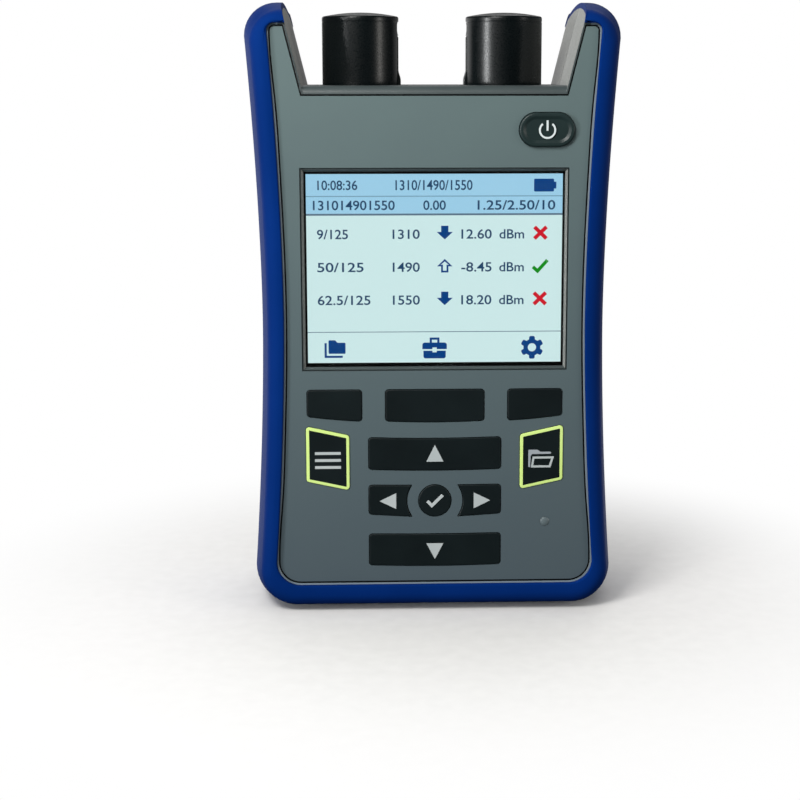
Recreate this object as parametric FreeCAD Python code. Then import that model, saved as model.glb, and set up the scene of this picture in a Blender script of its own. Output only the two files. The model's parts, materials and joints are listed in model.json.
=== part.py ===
import FreeCAD, Part
import os

Vector = FreeCAD.Vector

# A hand-held optical power meter: a waisted rubber boot round a two-part housing, with two
# capped fibre ports between its ears. Millimetres; +X right, -Y front, +Z up, and the origin
# is the middle of the foot that it stands on.

# Overall form
SCREEN_Z = 97.3            # height of the screen's centre, from which the face is set out
WAIST_HALF = 48.6          # half-widths of the boot, at the middle of its depth
EAR_HALF = 52.3
FOOT_HALF = 51.7
WAIST_Z = 82.3
FLARE_POWER = 1.73         # how the side bends from the waist to each end
SIDE_STEPS = 8             # spans of the curve that is drawn through it
TOP_Z = 169.8
BELLY_Z = -0.6             # lowest point of the crowned form, sliced flat at the foot
BOOT_DEPTH = 46.4
CROWN = 3.2                # how far the crowned sides fall back at the front and rear faces
EAR_RADIUS = 9.0           # corners of the outline
FOOT_RADIUS = 10.0
BOOT_ROLL = 4.0            # rounding of the boot's front and rear rims
BOOT_WALL = 1.5
BOOT_LIP = 1.2             # how thick the boot lies over the housing's face
BOOT_FIT = 0.08
BOOT_LIP_ROUND = 0.45       # rounding of the edges of the boot's two openings

# The face opening of the boot, and what is recessed in it
FACE_INSET = 7.2           # from the boot's side to the opening, at the waist
FACE_TAPER = 0.35          # how much more that is at the ears, and less at the foot
FACE_TOP_DROP = 6.1
FACE_BOTTOM_RISE = 8.7
FACE_TOP_RADIUS = 2.0
FACE_BOTTOM_RADIUS = 6.6
REAR_INSET = 8.0
REAR_RADIUS = 7.0
HOUSING_LIP = 0.45         # bare housing between the boot and the overlay's groove
OVERLAY_GROOVE = 0.45
OVERLAY_THICK = 0.8
OVERLAY_SUNK = 0.2         # how far the overlay lies below the housing's face
OVERLAY_BED = 0.02         # bond line

# Housing
HOUSING_ROLL = 3.4
WALL = 2.2
PARTING_Y = 0.0
DECK_DROP = 22.6           # from the ears' tops to the flat deck that carries the two ports
NOTCH_HALF = 35.9          # half-width of the deck
EAR_SLOPE = 0.249          # how far the inner ear faces lean out, for each unit of height
DECK_ROUND = 2.3           # rounding of the deck's front edge
NOTCH_SIDE_LIP = 0.45
NOTCH_DROP = 2.3           # from the deck down to the overlay's groove
PARTING_GROOVE = 0.3       # width and depth of the line between the housing halves
BOSS_RADIUS = 3.3
BOSS_LOW_X = 38.2
BOSS_LOW_RISE = 16.1
BOSS_HIGH_X = 39.6
BOSS_HIGH_DROP = 24.3
SCREW_HOLE_RADIUS = 1.6
SCREW_HEAD_RADIUS = 3.0
SCREW_HEAD_DEPTH = 3.0
PILOT_RADIUS = 1.1

# Display
LIT_HALF_X = 35.04         # a 3.5 inch, 4:3 screen
LIT_HALF_Z = 26.14
BORDER_X = 0.55            # black border round the lit area
BORDER_Z = 0.75
BEZEL = 0.7                # width of the sloping bezel
BEZEL_GROOVE = 0.35
BEZEL_SUNK = 0.3
BEZEL_LAND = 0.1           # level strip along the bezel's outer edge
BEZEL_STEP = 0.3           # upright step from the slope down to the window
WINDOW_LAP = 0.6
WINDOW_FIT = 0.1
WINDOW_THICK = 0.6
WINDOW_RECESS = 1.4        # window's front face, below the housing's face
GASKET_THICK = 0.6
LCD_HALF_X = 38.4
LCD_HALF_Z = 30.4
LCD_THICK = 3.4
LCD_GLASS_GAP = 0.1        # between the LCD glass and the window

# Keys
KEY_PROUD = 0.3            # above the overlay
KEY_CLEARANCE = 0.16
KEY_CORNER = 0.9
KEY_EDGE = 0.25
KEY_BOW = 0.35             # how far the long edges bow down
KEY_FLANGE = 0.8
FLANGE_THICK = 0.8
FLANGE_GAP = 0.2
KEY_TRAVEL = 0.6
TRAVEL_SPARE = 0.2
PAD_INSET = 1.0
PAD_HEIGHT = 0.6
MAT_THICK = 0.8
MAT_HALF_X = 37.0
MAT_MARGIN = 1.4           # mat round the keys
BOARD_THICK = 1.6
BOARD_CLEARANCE = 0.5      # round the screw bosses

SOFT_TOP = 33.25           # soft keys, measured down from the screen's centre
SOFT_BOTTOM = 42.1
SOFT_OUTER_BOTTOM = 40.7
SOFT_MIDDLE_HALF = 13.7
SOFT_INNER_X = 20.3
SOFT_OUTER_X = 35.4
PAD_HALF_X = 18.45         # half-width of the direction keys
UP_TOP = 46.8
UP_BOTTOM = 55.9
SIDE_TOP = 60.55
SIDE_BOTTOM = 69.55
SIDE_OUTER_RISE = 0.75     # how much the side keys narrow towards their outer ends
SIDE_OUTER_DROP = 0.1
OK_DROP = 65.0
OK_RADIUS = 4.55
SIDE_ARC_RADIUS = 7.9
DOWN_TOP = 74.55
DOWN_BOTTOM = 83.6
MENU_OUTER_X = 35.8
MENU_INNER_X = 23.85
MENU_OUTER_TOP = 43.5
MENU_INNER_TOP = 46.15
MENU_OUTER_BOTTOM = 59.2
MENU_INNER_BOTTOM = 61.8
POWER_X = 30.4
POWER_RISE = 38.1
POWER_HALF_X = 7.55
POWER_HALF_Z = 4.6
POWER_PROUD = 1.2
POWER_EDGE = 0.5
POWER_RIM = 1.0            # rim round the power key's dished top
POWER_DISH = 0.35
POWER_DISH_SLOPE = 0.8

# Fibre ports
PORT_X = 20.1
COLLAR_RADIUS = 7.9
COLLAR_HEIGHT = 10.5       # above the deck
COLLAR_BELOW = 6.0
COLLAR_CHAMFER = 0.6
NUT_WALL = 1.6
NUT_THICK = 3.0
ADAPTER_WALL = 0.8
SOCKET_X = 9.0             # push-pull connector socket, square-bodied
SOCKET_Y = 7.4
SOCKET_DEPTH = 9.6
ADAPTER_PROUD = 1.0        # above the collar
ADAPTER_BELOW = 14.0
KEYWAY_X = 2.4
KEYWAY_DEPTH = 5.0
HOLDER_RADIUS = 2.45
HOLDER_DROP = 4.9          # from the mouth down to the sleeve holder
SLEEVE_RADIUS = 1.6
SLEEVE_BORE = 1.25
SLEEVE_DROP = 5.1
SLEEVE_LENGTH = 8.0
SLEEVE_SLIT = 0.3
SLEEVE_FIT = 0.02
ADAPTER_FIT = 0.05

# Dust caps
CAP_WALL = 2.5
CAP_HEIGHT = 18.85
CAP_DOME = 1.05
CAP_LIFT = 0.25            # running gap over the deck
CAP_FIT = 0.3              # round the collar
CAP_ROOF = 2.6
CAP_EDGE = 0.5
STRAP_SLOT = 0.9           # depth of the slot for the strap in the cap's side
STRAP_HALF = 2.2
STRAP_THICK = 0.7
STRAP_TOP = 13.4
STRAP_SIDE_GAP = 0.15
STRAP_FOOT_PROUD = 0.9
STRAP_FOOT_HEIGHT = 3.8

# Inside
MAIN_BOARD_Y = -7.5
MAIN_BOARD_HALF_X = 33.0
MAIN_BOARD_LOW = 22.0
MAIN_BOARD_DROP = 7.2      # below the deck
BATTERY_HALF_X = 28.0
BATTERY_THICK = 16.0
BATTERY_LOW = 24.0
BATTERY_HIGH = 92.0
BATTERY_FIT = 0.1
DETECTOR_HALF_X = 9.0
DETECTOR_THICK = 15.0
DETECTOR_LENGTH = 35.2
RIB_THICK = 1.6
ROOT = 0.5                 # how far bosses and ribs run into the wall that carries them
LED_X = 31.0
LED_DROP = 71.4
LED_RADIUS = 1.3
LED_PROUD = 0.4
LED_FIT = 0.05
USB_HALF_X = 4.6
USB_HALF_Y = 1.7
USB_WALL = 0.3
USB_TONGUE_HALF_X = 3.3
USB_TONGUE_HALF_Y = 0.35
USB_DEPTH = 7.5
USB_SUNK = 0.3
USB_FLOOR = 1.0
USB_TONGUE_SUNK = 0.8
USB_END_ROUND = 0.98       # of the half-thickness, so that the ends are nearly half round

# Places that follow from the sizes above
EAR_Z = TOP_Z - EAR_RADIUS
FOOT_Z = BELLY_Z + FOOT_RADIUS
FACE_TOP_Z = TOP_Z - FACE_TOP_DROP
FACE_BOTTOM_Z = BELLY_Z + FACE_BOTTOM_RISE
DECK_Z = TOP_Z - DECK_DROP
BOSS_PLACES = ((BOSS_LOW_X, BELLY_Z + BOSS_LOW_RISE), (BOSS_HIGH_X, TOP_Z - BOSS_HIGH_DROP))
CAP_RADIUS = COLLAR_RADIUS + CAP_FIT + CAP_WALL
NUT_ACROSS = 2 * (COLLAR_RADIUS + NUT_WALL)
MAIN_BOARD_HIGH = DECK_Z - MAIN_BOARD_DROP
FRONT_Y = -BOOT_DEPTH / 2
FACE_Y = FRONT_Y + BOOT_LIP
OVERLAY_Y = FACE_Y + OVERLAY_SUNK
POCKET_Y = OVERLAY_Y + OVERLAY_THICK + OVERLAY_BED
FRONT_INNER_Y = POCKET_Y + WALL
WINDOW_Y = FACE_Y + WINDOW_RECESS
FLANGE_Y = FRONT_INNER_Y + FLANGE_GAP
KEY_BACK_Y = FLANGE_Y + FLANGE_THICK
PAD_Y = KEY_BACK_Y + KEY_TRAVEL + TRAVEL_SPARE
MAT_Y = PAD_Y + PAD_HEIGHT
KEY_BOARD_Y = MAT_Y + MAT_THICK
COLLAR_TOP_Z = DECK_Z + COLLAR_HEIGHT
MOUTH_Z = COLLAR_TOP_Z + ADAPTER_PROUD
CAP_BOTTOM_Z = DECK_Z + CAP_LIFT
REAR_INNER_Y = -FRONT_INNER_Y
NEAR = 0.01                # edges count as level within this
FAR = 200.0                # reaches past the whole part
PAST = 5.0                 # how far a cut runs past the face it opens


def box(x0, x1, y0, y1, z0, z1):
    return Part.makeBox(x1 - x0, y1 - y0, z1 - z0, Vector(x0, y0, z0))


def cylinder(radius, base, axis, length):
    return Part.makeCylinder(radius, length, base, axis)


def along_y(edge):
    """True for a straight edge that runs from front to back."""
    if edge.Curve.TypeId != "Part::GeomLine":
        return False
    return abs(edge.tangentAt(edge.FirstParameter).y) > 0.99


def mirrored(shape):
    return shape.mirror(Vector(0, 0, 0), Vector(1, 0, 0))


# ---- The waisted outline, from which boot, housing and overlay are all drawn ----

def half_width(height):
    rise = height - WAIST_Z
    if rise > 0:
        return WAIST_HALF + (EAR_HALF - WAIST_HALF) * (rise / (EAR_Z - WAIST_Z)) ** FLARE_POWER
    return WAIST_HALF + (FOOT_HALF - WAIST_HALF) * (-rise / (WAIST_Z - FOOT_Z)) ** FLARE_POWER


def corner_arc(edge_x, tip_z, radius, up):
    """A quarter round from the level edge at tip_z to the side at edge_x."""
    centre = Vector(edge_x - radius, 0, tip_z - up * radius)
    level = centre + Vector(0, 0, up * radius)
    middle = centre + Vector(radius, 0, up * radius).normalize() * radius
    side = centre + Vector(radius, 0, 0)
    return Part.Arc(level, middle, side).toShape()


def side_x(height, inset, taper):
    """Half-width of an outline; with taper it is set in more at the ears than at the foot."""
    return half_width(height) - inset - taper * (height - WAIST_Z) / (EAR_Z - WAIST_Z)


def side_curve(start_z, end_z, inset, taper):
    points = []
    for step in range(SIDE_STEPS + 1):
        height = start_z + (end_z - start_z) * step / SIDE_STEPS
        points.append(Vector(side_x(height, inset, taper), 0, height))
    curve = Part.BSplineCurve()
    curve.interpolate(Points=points, InitialTangent=Vector(0, 0, 1), FinalTangent=Vector(0, 0, 1))
    return curve.toShape()


def outline(y, inset, low, high, low_radius, high_radius, taper=0):
    """The closed waisted outline at depth y, its sides moved in by inset."""
    foot_z = low + low_radius
    ear_z = high - high_radius
    foot_x = side_x(foot_z, inset, taper)
    ear_x = side_x(ear_z, inset, taper)
    right = [
        corner_arc(foot_x, low, low_radius, -1),
        side_curve(foot_z, ear_z, inset, taper),
        corner_arc(ear_x, high, high_radius, 1),
    ]
    left = [mirrored(edge) for edge in reversed(right)]
    foot = Part.makeLine(Vector(low_radius - foot_x, 0, low), Vector(foot_x - low_radius, 0, low))
    top = Part.makeLine(Vector(ear_x - high_radius, 0, high), Vector(high_radius - ear_x, 0, high))
    wire = Part.Wire([foot] + right + [top] + left)
    wire.translate(Vector(0, y, 0))
    return wire


def plate(y0, y1, *shape):
    """A plate between two depths; shape is what outline takes after its depth."""
    return Part.Face(outline(y0, *shape)).extrude(Vector(0, y1 - y0, 0))


def crowned(offset, half_depth):
    """The crowned outer form, offset inward all round, between two level faces."""
    wires = []
    for share in (-1, 0, 1):
        y = share * half_depth
        inset = offset + CROWN * (y / FRONT_Y) ** 2
        foot_radius = FOOT_RADIUS - offset
        ear_radius = EAR_RADIUS - offset
        wires.append(outline(y, inset, BELLY_Z + inset, TOP_Z - inset, foot_radius, ear_radius))
    return Part.makeLoft(wires, True, False)


def rim_edges(shape, y):
    """The edges that lie in the plane at depth y."""
    found = []
    for edge in shape.Edges:
        bounds = edge.BoundBox
        if max(abs(bounds.YMin - y), abs(bounds.YMax - y)) < NEAR:
            found.append(edge)
    return found


def level_edges(edges, z):
    """Those of the edges that lie at height z."""
    found = []
    for edge in edges:
        bounds = edge.BoundBox
        if max(abs(bounds.ZMin - z), abs(bounds.ZMax - z)) < NEAR:
            found.append(edge)
    return found


def rolled(offset, half_depth, roll):
    """The crowned form with rounded front and rear rims."""
    form = crowned(offset, half_depth)
    rims = rim_edges(form, -half_depth) + rim_edges(form, half_depth)
    return form.makeFillet(roll, rims)


def notch(drop, grow):
    """The space between the ears, deepened by drop and widened by grow."""
    low = DECK_Z - drop
    width = NOTCH_HALF + grow + (low - DECK_Z) * EAR_SLOPE
    high = TOP_Z + PAST
    high_width = NOTCH_HALF + grow + (high - DECK_Z) * EAR_SLOPE
    points = [
        Vector(-width, -FAR, low),
        Vector(width, -FAR, low),
        Vector(high_width, -FAR, high),
        Vector(-high_width, -FAR, high),
    ]
    wire = Part.makePolygon(points + points[:1])
    return Part.Face(wire).extrude(Vector(0, 2 * FAR, 0))


# ---- Boot ----

def face_opening(grow, y0, y1):
    """The opening of the boot's front; grow makes the smaller outlines inside it."""
    return plate(y0, y1, FACE_INSET + grow, FACE_BOTTOM_Z + grow, FACE_TOP_Z - grow,
                 FACE_BOTTOM_RADIUS - grow, FACE_TOP_RADIUS - grow, FACE_TAPER)


def rear_opening(grow, y0, y1):
    return plate(y0, y1, REAR_INSET + grow, BELLY_Z + REAR_INSET + grow, FACE_TOP_Z - grow,
                 REAR_RADIUS - grow, FACE_TOP_RADIUS - grow)


def lip_cut(opening, side):
    """The cut for one of the boot's openings, with a round where it meets the face."""
    face_y = side * BOOT_DEPTH / 2
    hole = opening(0, face_y - side * PAST, face_y + side * PAST)
    flange = opening(-2 * BOOT_LIP_ROUND, face_y, face_y + side * PAST)
    tool = hole.fuse(flange)
    mouth = []
    for edge in rim_edges(tool, face_y):
        middle = edge.valueAt((edge.FirstParameter + edge.LastParameter) / 2)
        if hole.distToShape(Part.Vertex(middle))[0] < BOOT_LIP_ROUND / 2:
            mouth.append(edge)
    return tool.makeFillet(BOOT_LIP_ROUND, mouth)


def make_boot():
    outer = rolled(0, BOOT_DEPTH / 2, BOOT_ROLL)
    inner = rolled(BOOT_WALL - BOOT_FIT, -FACE_Y + BOOT_FIT, HOUSING_ROLL)
    boot = outer.cut(inner).cut(lip_cut(face_opening, -1)).cut(lip_cut(rear_opening, 1))
    boot = boot.cut(notch(0, 0))
    return boot.cut(box(-FAR, FAR, -FAR, FAR, -FAR, 0))


# ---- Housing ----

def housing_form():
    form = rolled(BOOT_WALL, -FACE_Y, HOUSING_ROLL).cut(notch(0, 0))
    return form.makeFillet(DECK_ROUND, level_edges(rim_edges(form, FACE_Y), DECK_Z))


def housing_cavity():
    room = crowned(BOOT_WALL + WALL, -FRONT_INNER_Y)
    return room.cut(notch(WALL, WALL))


def boss(x, z, y0, y1, hole):
    post = cylinder(BOSS_RADIUS, Vector(x, y0, z), Vector(0, 1, 0), y1 - y0)
    return post.cut(cylinder(hole, Vector(x, y0, z), Vector(0, 1, 0), y1 - y0))


def boss_places():
    return [(side * x, z) for x, z in BOSS_PLACES for side in (-1, 1)]


def overlay_pocket(grow, y0, y1):
    """The recess in the housing's face; grow makes the overlay that lies in it."""
    recess = face_opening(HOUSING_LIP + grow, y0, y1)
    return recess.cut(notch(NOTCH_DROP + grow, NOTCH_SIDE_LIP + grow))


def bezel_half(extra):
    return LIT_HALF_X + BORDER_X + extra, LIT_HALF_Z + BORDER_Z + extra


def screen_box(extra, y0, y1):
    x, z = bezel_half(extra)
    return box(-x, x, y0, y1, SCREEN_Z - z, SCREEN_Z + z)


def bezel_ring():
    """The frame round the screen, sloping down to the window on its inner side."""
    top_y = FACE_Y + BEZEL_SUNK
    ring = screen_box(BEZEL, top_y, POCKET_Y)
    outer = Part.makePolygon(screen_corners(BEZEL - BEZEL_LAND, top_y))
    inner = Part.makePolygon(screen_corners(0, WINDOW_Y - BEZEL_STEP))
    funnel = Part.makeLoft([outer, inner], True, True)
    return ring.cut(funnel).cut(screen_box(0, FACE_Y, WINDOW_Y))


def screen_corners(extra, y):
    x, z = bezel_half(extra)
    corners = [(-x, -z), (x, -z), (x, z), (-x, z), (-x, -z)]
    return [Vector(cx, y, SCREEN_Z + cz) for cx, cz in corners]


def make_front_housing():
    half = box(-FAR, FAR, -FAR, PARTING_Y, -FAR, FAR)
    shell = housing_form().common(half).cut(housing_cavity())
    shell = shell.cut(overlay_pocket(0, FACE_Y - PAST, POCKET_Y))
    shell = shell.fuse(bezel_ring())
    shell = shell.cut(screen_box(0, FACE_Y - PAST, WINDOW_Y))
    shell = shell.cut(screen_box(WINDOW_LAP, WINDOW_Y, FRONT_INNER_Y + PAST))
    for face in key_faces().values():
        shell = shell.cut(key_prism(face, KEY_CLEARANCE, FACE_Y - PAST, FRONT_INNER_Y + PAST))
    shell = shell.cut(led_pin(LED_RADIUS + LED_FIT, FACE_Y, KEY_BOARD_Y))
    for x, z in boss_places():
        shell = shell.fuse(boss(x, z, FRONT_INNER_Y - ROOT, PARTING_Y, PILOT_RADIUS))
    for tool in deck_cuts():
        shell = shell.cut(tool)
    return shell.removeSplitter()


def make_rear_housing():
    half = box(-FAR, FAR, PARTING_Y, FAR, -FAR, FAR)
    shell = housing_form().common(half).cut(housing_cavity())
    for x, z in boss_places():
        shell = shell.fuse(boss(x, z, PARTING_Y, REAR_INNER_Y + ROOT, SCREW_HOLE_RADIUS))
        shell = shell.cut(cylinder(SCREW_HOLE_RADIUS, Vector(x, PARTING_Y, z), Vector(0, 1, 0), FAR))
        head = Vector(x, -FACE_Y, z)
        shell = shell.cut(cylinder(SCREW_HEAD_RADIUS, head, Vector(0, -1, 0), SCREW_HEAD_DEPTH))
    shell = shell.fuse(battery_ribs())
    for tool in deck_cuts():
        shell = shell.cut(tool)
    return shell.removeSplitter()


def battery_ribs():
    """Two ribs on the rear wall that carry the battery pack's ends."""
    rear = REAR_INNER_Y + ROOT
    front = REAR_INNER_Y - BATTERY_THICK
    low = box(-BATTERY_HALF_X, BATTERY_HALF_X, front, rear, BATTERY_LOW - RIB_THICK, BATTERY_LOW)
    high = box(-BATTERY_HALF_X, BATTERY_HALF_X, front, rear, BATTERY_HIGH, BATTERY_HIGH + RIB_THICK)
    return low.fuse(high)


def deck_cuts():
    """Holes for the two port collars and the charging socket, and the parting groove."""
    groove = box(-FAR, FAR, PARTING_Y - PARTING_GROOVE / 2, PARTING_Y + PARTING_GROOVE / 2, 0, FAR)
    tools = [notch(PARTING_GROOVE, PARTING_GROOVE).common(groove)]
    for side in (-1, 1):
        base = Vector(side * PORT_X, 0, DECK_Z - PAST)
        tools.append(cylinder(COLLAR_RADIUS + ADAPTER_FIT, base, Vector(0, 0, 1), 2 * PAST))
    tools.append(usb_prism(ADAPTER_FIT, DECK_Z - USB_DEPTH - PAST, DECK_Z + PAST))
    return tools


# ---- Face ----

def make_overlay():
    overlay = overlay_pocket(OVERLAY_GROOVE, OVERLAY_Y, OVERLAY_Y + OVERLAY_THICK)
    overlay = overlay.cut(screen_box(BEZEL + BEZEL_GROOVE, FACE_Y, POCKET_Y))
    for face in key_faces().values():
        overlay = overlay.cut(key_prism(face, KEY_CLEARANCE, FACE_Y, POCKET_Y))
    return overlay.cut(led_pin(LED_RADIUS + LED_FIT, FACE_Y, POCKET_Y))


def make_window():
    return screen_box(WINDOW_LAP - WINDOW_FIT, WINDOW_Y, WINDOW_Y + WINDOW_THICK)


def make_gasket():
    """Foam ring that presses the window forward from the display."""
    back = FRONT_INNER_Y + GASKET_THICK
    ring = screen_box(WINDOW_LAP - WINDOW_FIT, WINDOW_Y + WINDOW_THICK, back)
    return ring.cut(screen_box(0, FACE_Y, back))


def make_lcd():
    """The display: a body behind the wall, and its glass standing up to the window."""
    front = FRONT_INNER_Y + GASKET_THICK
    back = front + LCD_THICK
    body = box(-LCD_HALF_X, LCD_HALF_X, front, back, SCREEN_Z - LCD_HALF_Z, SCREEN_Z + LCD_HALF_Z)
    glass = screen_box(-LCD_GLASS_GAP, WINDOW_Y + WINDOW_THICK + LCD_GLASS_GAP, back)
    return body.fuse(glass).removeSplitter()


def led_pin(radius, y0, y1):
    return cylinder(radius, Vector(LED_X, y0, SCREEN_Z - LED_DROP), Vector(0, 1, 0), y1 - y0)


def make_light_pipe():
    """Light pipe to the face, with a low domed lens."""
    pin = led_pin(LED_RADIUS, OVERLAY_Y - LED_PROUD, KEY_BOARD_Y)
    ball_radius = (LED_RADIUS ** 2 + LED_PROUD ** 2) / (2 * LED_PROUD)
    centre = Vector(LED_X, OVERLAY_Y - LED_PROUD + ball_radius, SCREEN_Z - LED_DROP)
    return pin.common(Part.makeSphere(ball_radius, centre).fuse(led_pin(FAR, OVERLAY_Y, KEY_BOARD_Y)))


# ---- Keys ----

def face_point(x, drop):
    return Vector(x, 0, SCREEN_Z - drop)


def bowed(start, end, bow):
    """An edge from start to end that bows down by bow at its middle."""
    middle = (start + end) * 0.5 - Vector(0, 0, bow)
    return Part.Arc(start, middle, end).toShape()


def rounded_face(edges, beyond):
    """A face whose corners further out than beyond are rounded."""
    blank = Part.Face(Part.Wire(edges)).extrude(Vector(0, 1, 0))
    corners = []
    for edge in blank.Edges:
        if along_y(edge) and abs(edge.BoundBox.XMin) > beyond:
            corners.append(edge)
    blank = blank.makeFillet(KEY_CORNER, corners)
    return [face for face in blank.Faces if abs(face.BoundBox.YMax) < NEAR][0]


def quad_key(left_x, right_x, tops, bottoms, bows):
    """A four-sided key; tops and bottoms give the drops of the left and right corners."""
    top_left = face_point(left_x, tops[0])
    top_right = face_point(right_x, tops[1])
    bottom_right = face_point(right_x, bottoms[1])
    bottom_left = face_point(left_x, bottoms[0])
    edges = []
    for start, end, bow in ((top_left, top_right, bows[0]), (bottom_right, bottom_left, bows[1])):
        edges.append(bowed(start, end, bow) if bow else Part.makeLine(start, end))
    edges.insert(1, Part.makeLine(top_right, bottom_right))
    edges.append(Part.makeLine(bottom_left, top_left))
    return rounded_face(edges, 0)


def side_key():
    """The left direction key, hollowed round the middle key, which leaves two sharp tips."""
    outer_top = face_point(-PAD_HALF_X, SIDE_TOP - SIDE_OUTER_DROP)
    outer_bottom = face_point(-PAD_HALF_X, SIDE_BOTTOM - SIDE_OUTER_RISE)
    top_tip = arc_tip(SIDE_TOP)
    bottom_tip = arc_tip(SIDE_BOTTOM)
    hollow = Part.Arc(top_tip, face_point(-SIDE_ARC_RADIUS, OK_DROP), bottom_tip).toShape()
    edges = [
        Part.makeLine(outer_top, top_tip),
        hollow,
        Part.makeLine(bottom_tip, outer_bottom),
        Part.makeLine(outer_bottom, outer_top),
    ]
    return rounded_face(edges, SIDE_ARC_RADIUS)


def arc_tip(drop):
    rise = OK_DROP - drop
    return face_point(-(SIDE_ARC_RADIUS ** 2 - rise ** 2) ** 0.5, drop)


def round_key():
    circle = Part.makeCircle(OK_RADIUS, face_point(0, OK_DROP), Vector(0, 1, 0))
    return Part.Face(Part.Wire([circle]))


def power_key_face():
    straight = POWER_HALF_X - POWER_HALF_Z
    centre = face_point(POWER_X, -POWER_RISE)
    across = Vector(straight, 0, 0)
    up = Vector(0, 0, POWER_HALF_Z)
    tip = Vector(POWER_HALF_X, 0, 0)
    edges = [
        Part.makeLine(centre - across + up, centre + across + up),
        Part.Arc(centre + across + up, centre + tip, centre + across - up).toShape(),
        Part.makeLine(centre + across - up, centre - across - up),
        Part.Arc(centre - across - up, centre - tip, centre - across + up).toShape(),
    ]
    return Part.Face(Part.Wire(edges))


def pad_faces():
    """Outlines of the keys that stand on the keypad mat, by node name."""
    soft_left = quad_key(-SOFT_OUTER_X, -SOFT_INNER_X, (SOFT_TOP, SOFT_TOP),
                         (SOFT_OUTER_BOTTOM, SOFT_BOTTOM), (0, KEY_BOW / 2))
    menu = quad_key(-MENU_OUTER_X, -MENU_INNER_X, (MENU_OUTER_TOP, MENU_INNER_TOP),
                    (MENU_OUTER_BOTTOM, MENU_INNER_BOTTOM), (0, 0))
    return {
        "soft_key_left": soft_left,
        "soft_key_middle": quad_key(-SOFT_MIDDLE_HALF, SOFT_MIDDLE_HALF, (SOFT_TOP, SOFT_TOP),
                                    (SOFT_BOTTOM, SOFT_BOTTOM), (0, KEY_BOW)),
        "soft_key_right": mirrored(soft_left),
        "menu_key": menu,
        "folder_key": mirrored(menu),
        "up_key": quad_key(-PAD_HALF_X, PAD_HALF_X, (UP_TOP, UP_TOP), (UP_BOTTOM, UP_BOTTOM),
                           (KEY_BOW, KEY_BOW)),
        "down_key": quad_key(-PAD_HALF_X, PAD_HALF_X, (DOWN_TOP, DOWN_TOP),
                             (DOWN_BOTTOM, DOWN_BOTTOM), (KEY_BOW / 2, KEY_BOW)),
        "left_key": side_key(),
        "right_key": mirrored(side_key()),
        "ok_key": round_key(),
    }


def key_faces():
    faces = pad_faces()
    faces["power_key"] = power_key_face()
    return faces


def key_prism(face, grow, y0, y1):
    """A prism on a key's outline, grown all round."""
    base = face.makeOffset2D(grow) if grow else face.copy()
    base.translate(Vector(0, y0, 0))
    return base.extrude(Vector(0, y1 - y0, 0))


def make_key(face, proud, edge):
    """A key with a soft top edge, and a flange behind the housing's front wall."""
    top_y = OVERLAY_Y - proud
    stem = key_prism(face, 0, top_y, KEY_BACK_Y)
    stem = stem.makeFillet(edge, rim_edges(stem, top_y))
    return stem.fuse(key_prism(face, KEY_FLANGE, FLANGE_Y, KEY_BACK_Y)).removeSplitter()


def make_power_key():
    """The power key stands higher than the others, and its top is dished inside a rim."""
    face = power_key_face()
    top_y = OVERLAY_Y - POWER_PROUD
    rim = face.makeOffset2D(-POWER_RIM).OuterWire
    floor = face.makeOffset2D(-POWER_RIM - POWER_DISH_SLOPE).OuterWire
    rim.translate(Vector(0, top_y, 0))
    floor.translate(Vector(0, top_y + POWER_DISH, 0))
    return make_key(face, POWER_PROUD, POWER_EDGE).cut(Part.makeLoft([rim, floor], True, True))


def mat_extent():
    return SCREEN_Z - DOWN_BOTTOM - MAT_MARGIN, SCREEN_Z - SOFT_TOP + MAT_MARGIN


def make_mat():
    low, high = mat_extent()
    mat = box(-MAT_HALF_X, MAT_HALF_X, MAT_Y, KEY_BOARD_Y, low, high)
    for face in pad_faces().values():
        mat = mat.fuse(key_prism(face, -PAD_INSET, PAD_Y, MAT_Y))
    return cut_bosses(mat).cut(led_pin(LED_RADIUS + LED_FIT, FACE_Y, KEY_BOARD_Y)).removeSplitter()


def cut_bosses(shape):
    """Cuts the room for the screw bosses out of a board or the mat."""
    radius = BOSS_RADIUS + BOARD_CLEARANCE
    for x, z in boss_places():
        shape = shape.cut(cylinder(radius, Vector(x, FACE_Y, z), Vector(0, 1, 0), BOOT_DEPTH))
    return shape


def make_key_board():
    low, high = mat_extent()
    board = box(-MAT_HALF_X, MAT_HALF_X, KEY_BOARD_Y, KEY_BOARD_Y + BOARD_THICK, low, high)
    return cut_bosses(board)


def make_power_switch():
    """A tactile switch, with the post that carries it on the main board."""
    centre = face_point(POWER_X, -POWER_RISE)
    low_z = centre.z - POWER_HALF_Z + PAD_INSET
    high_z = centre.z + POWER_HALF_Z - PAD_INSET
    half = POWER_HALF_X - PAD_INSET
    return box(POWER_X - half, POWER_X + half, PAD_Y, MAIN_BOARD_Y, low_z, high_z)


# ---- Ports ----

def hexagon(across, z0, z1):
    radius = across / 3 ** 0.5
    step = Vector(radius, 0, z0)
    points = []
    for turn in range(7):
        corner = FreeCAD.Rotation(Vector(0, 0, 1), 60 * turn).multVec(step)
        points.append(corner)
    return Part.Face(Part.makePolygon(points)).extrude(Vector(0, 0, z1 - z0))


def adapter_outer(fit):
    x = SOCKET_X / 2 + ADAPTER_WALL + fit
    y = SOCKET_Y / 2 + ADAPTER_WALL + fit
    return box(-x, x, -y, y, DECK_Z - ADAPTER_BELOW, MOUTH_Z)


def make_collar():
    """Turned collar through the deck, which the cap pushes over; it carries the adapter."""
    height = COLLAR_HEIGHT + COLLAR_BELOW
    collar = cylinder(COLLAR_RADIUS, Vector(0, 0, DECK_Z - COLLAR_BELOW), Vector(0, 0, 1), height)
    collar = collar.makeChamfer(COLLAR_CHAMFER, level_edges(collar.Edges, COLLAR_TOP_Z))
    return collar.cut(adapter_outer(ADAPTER_FIT))


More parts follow.
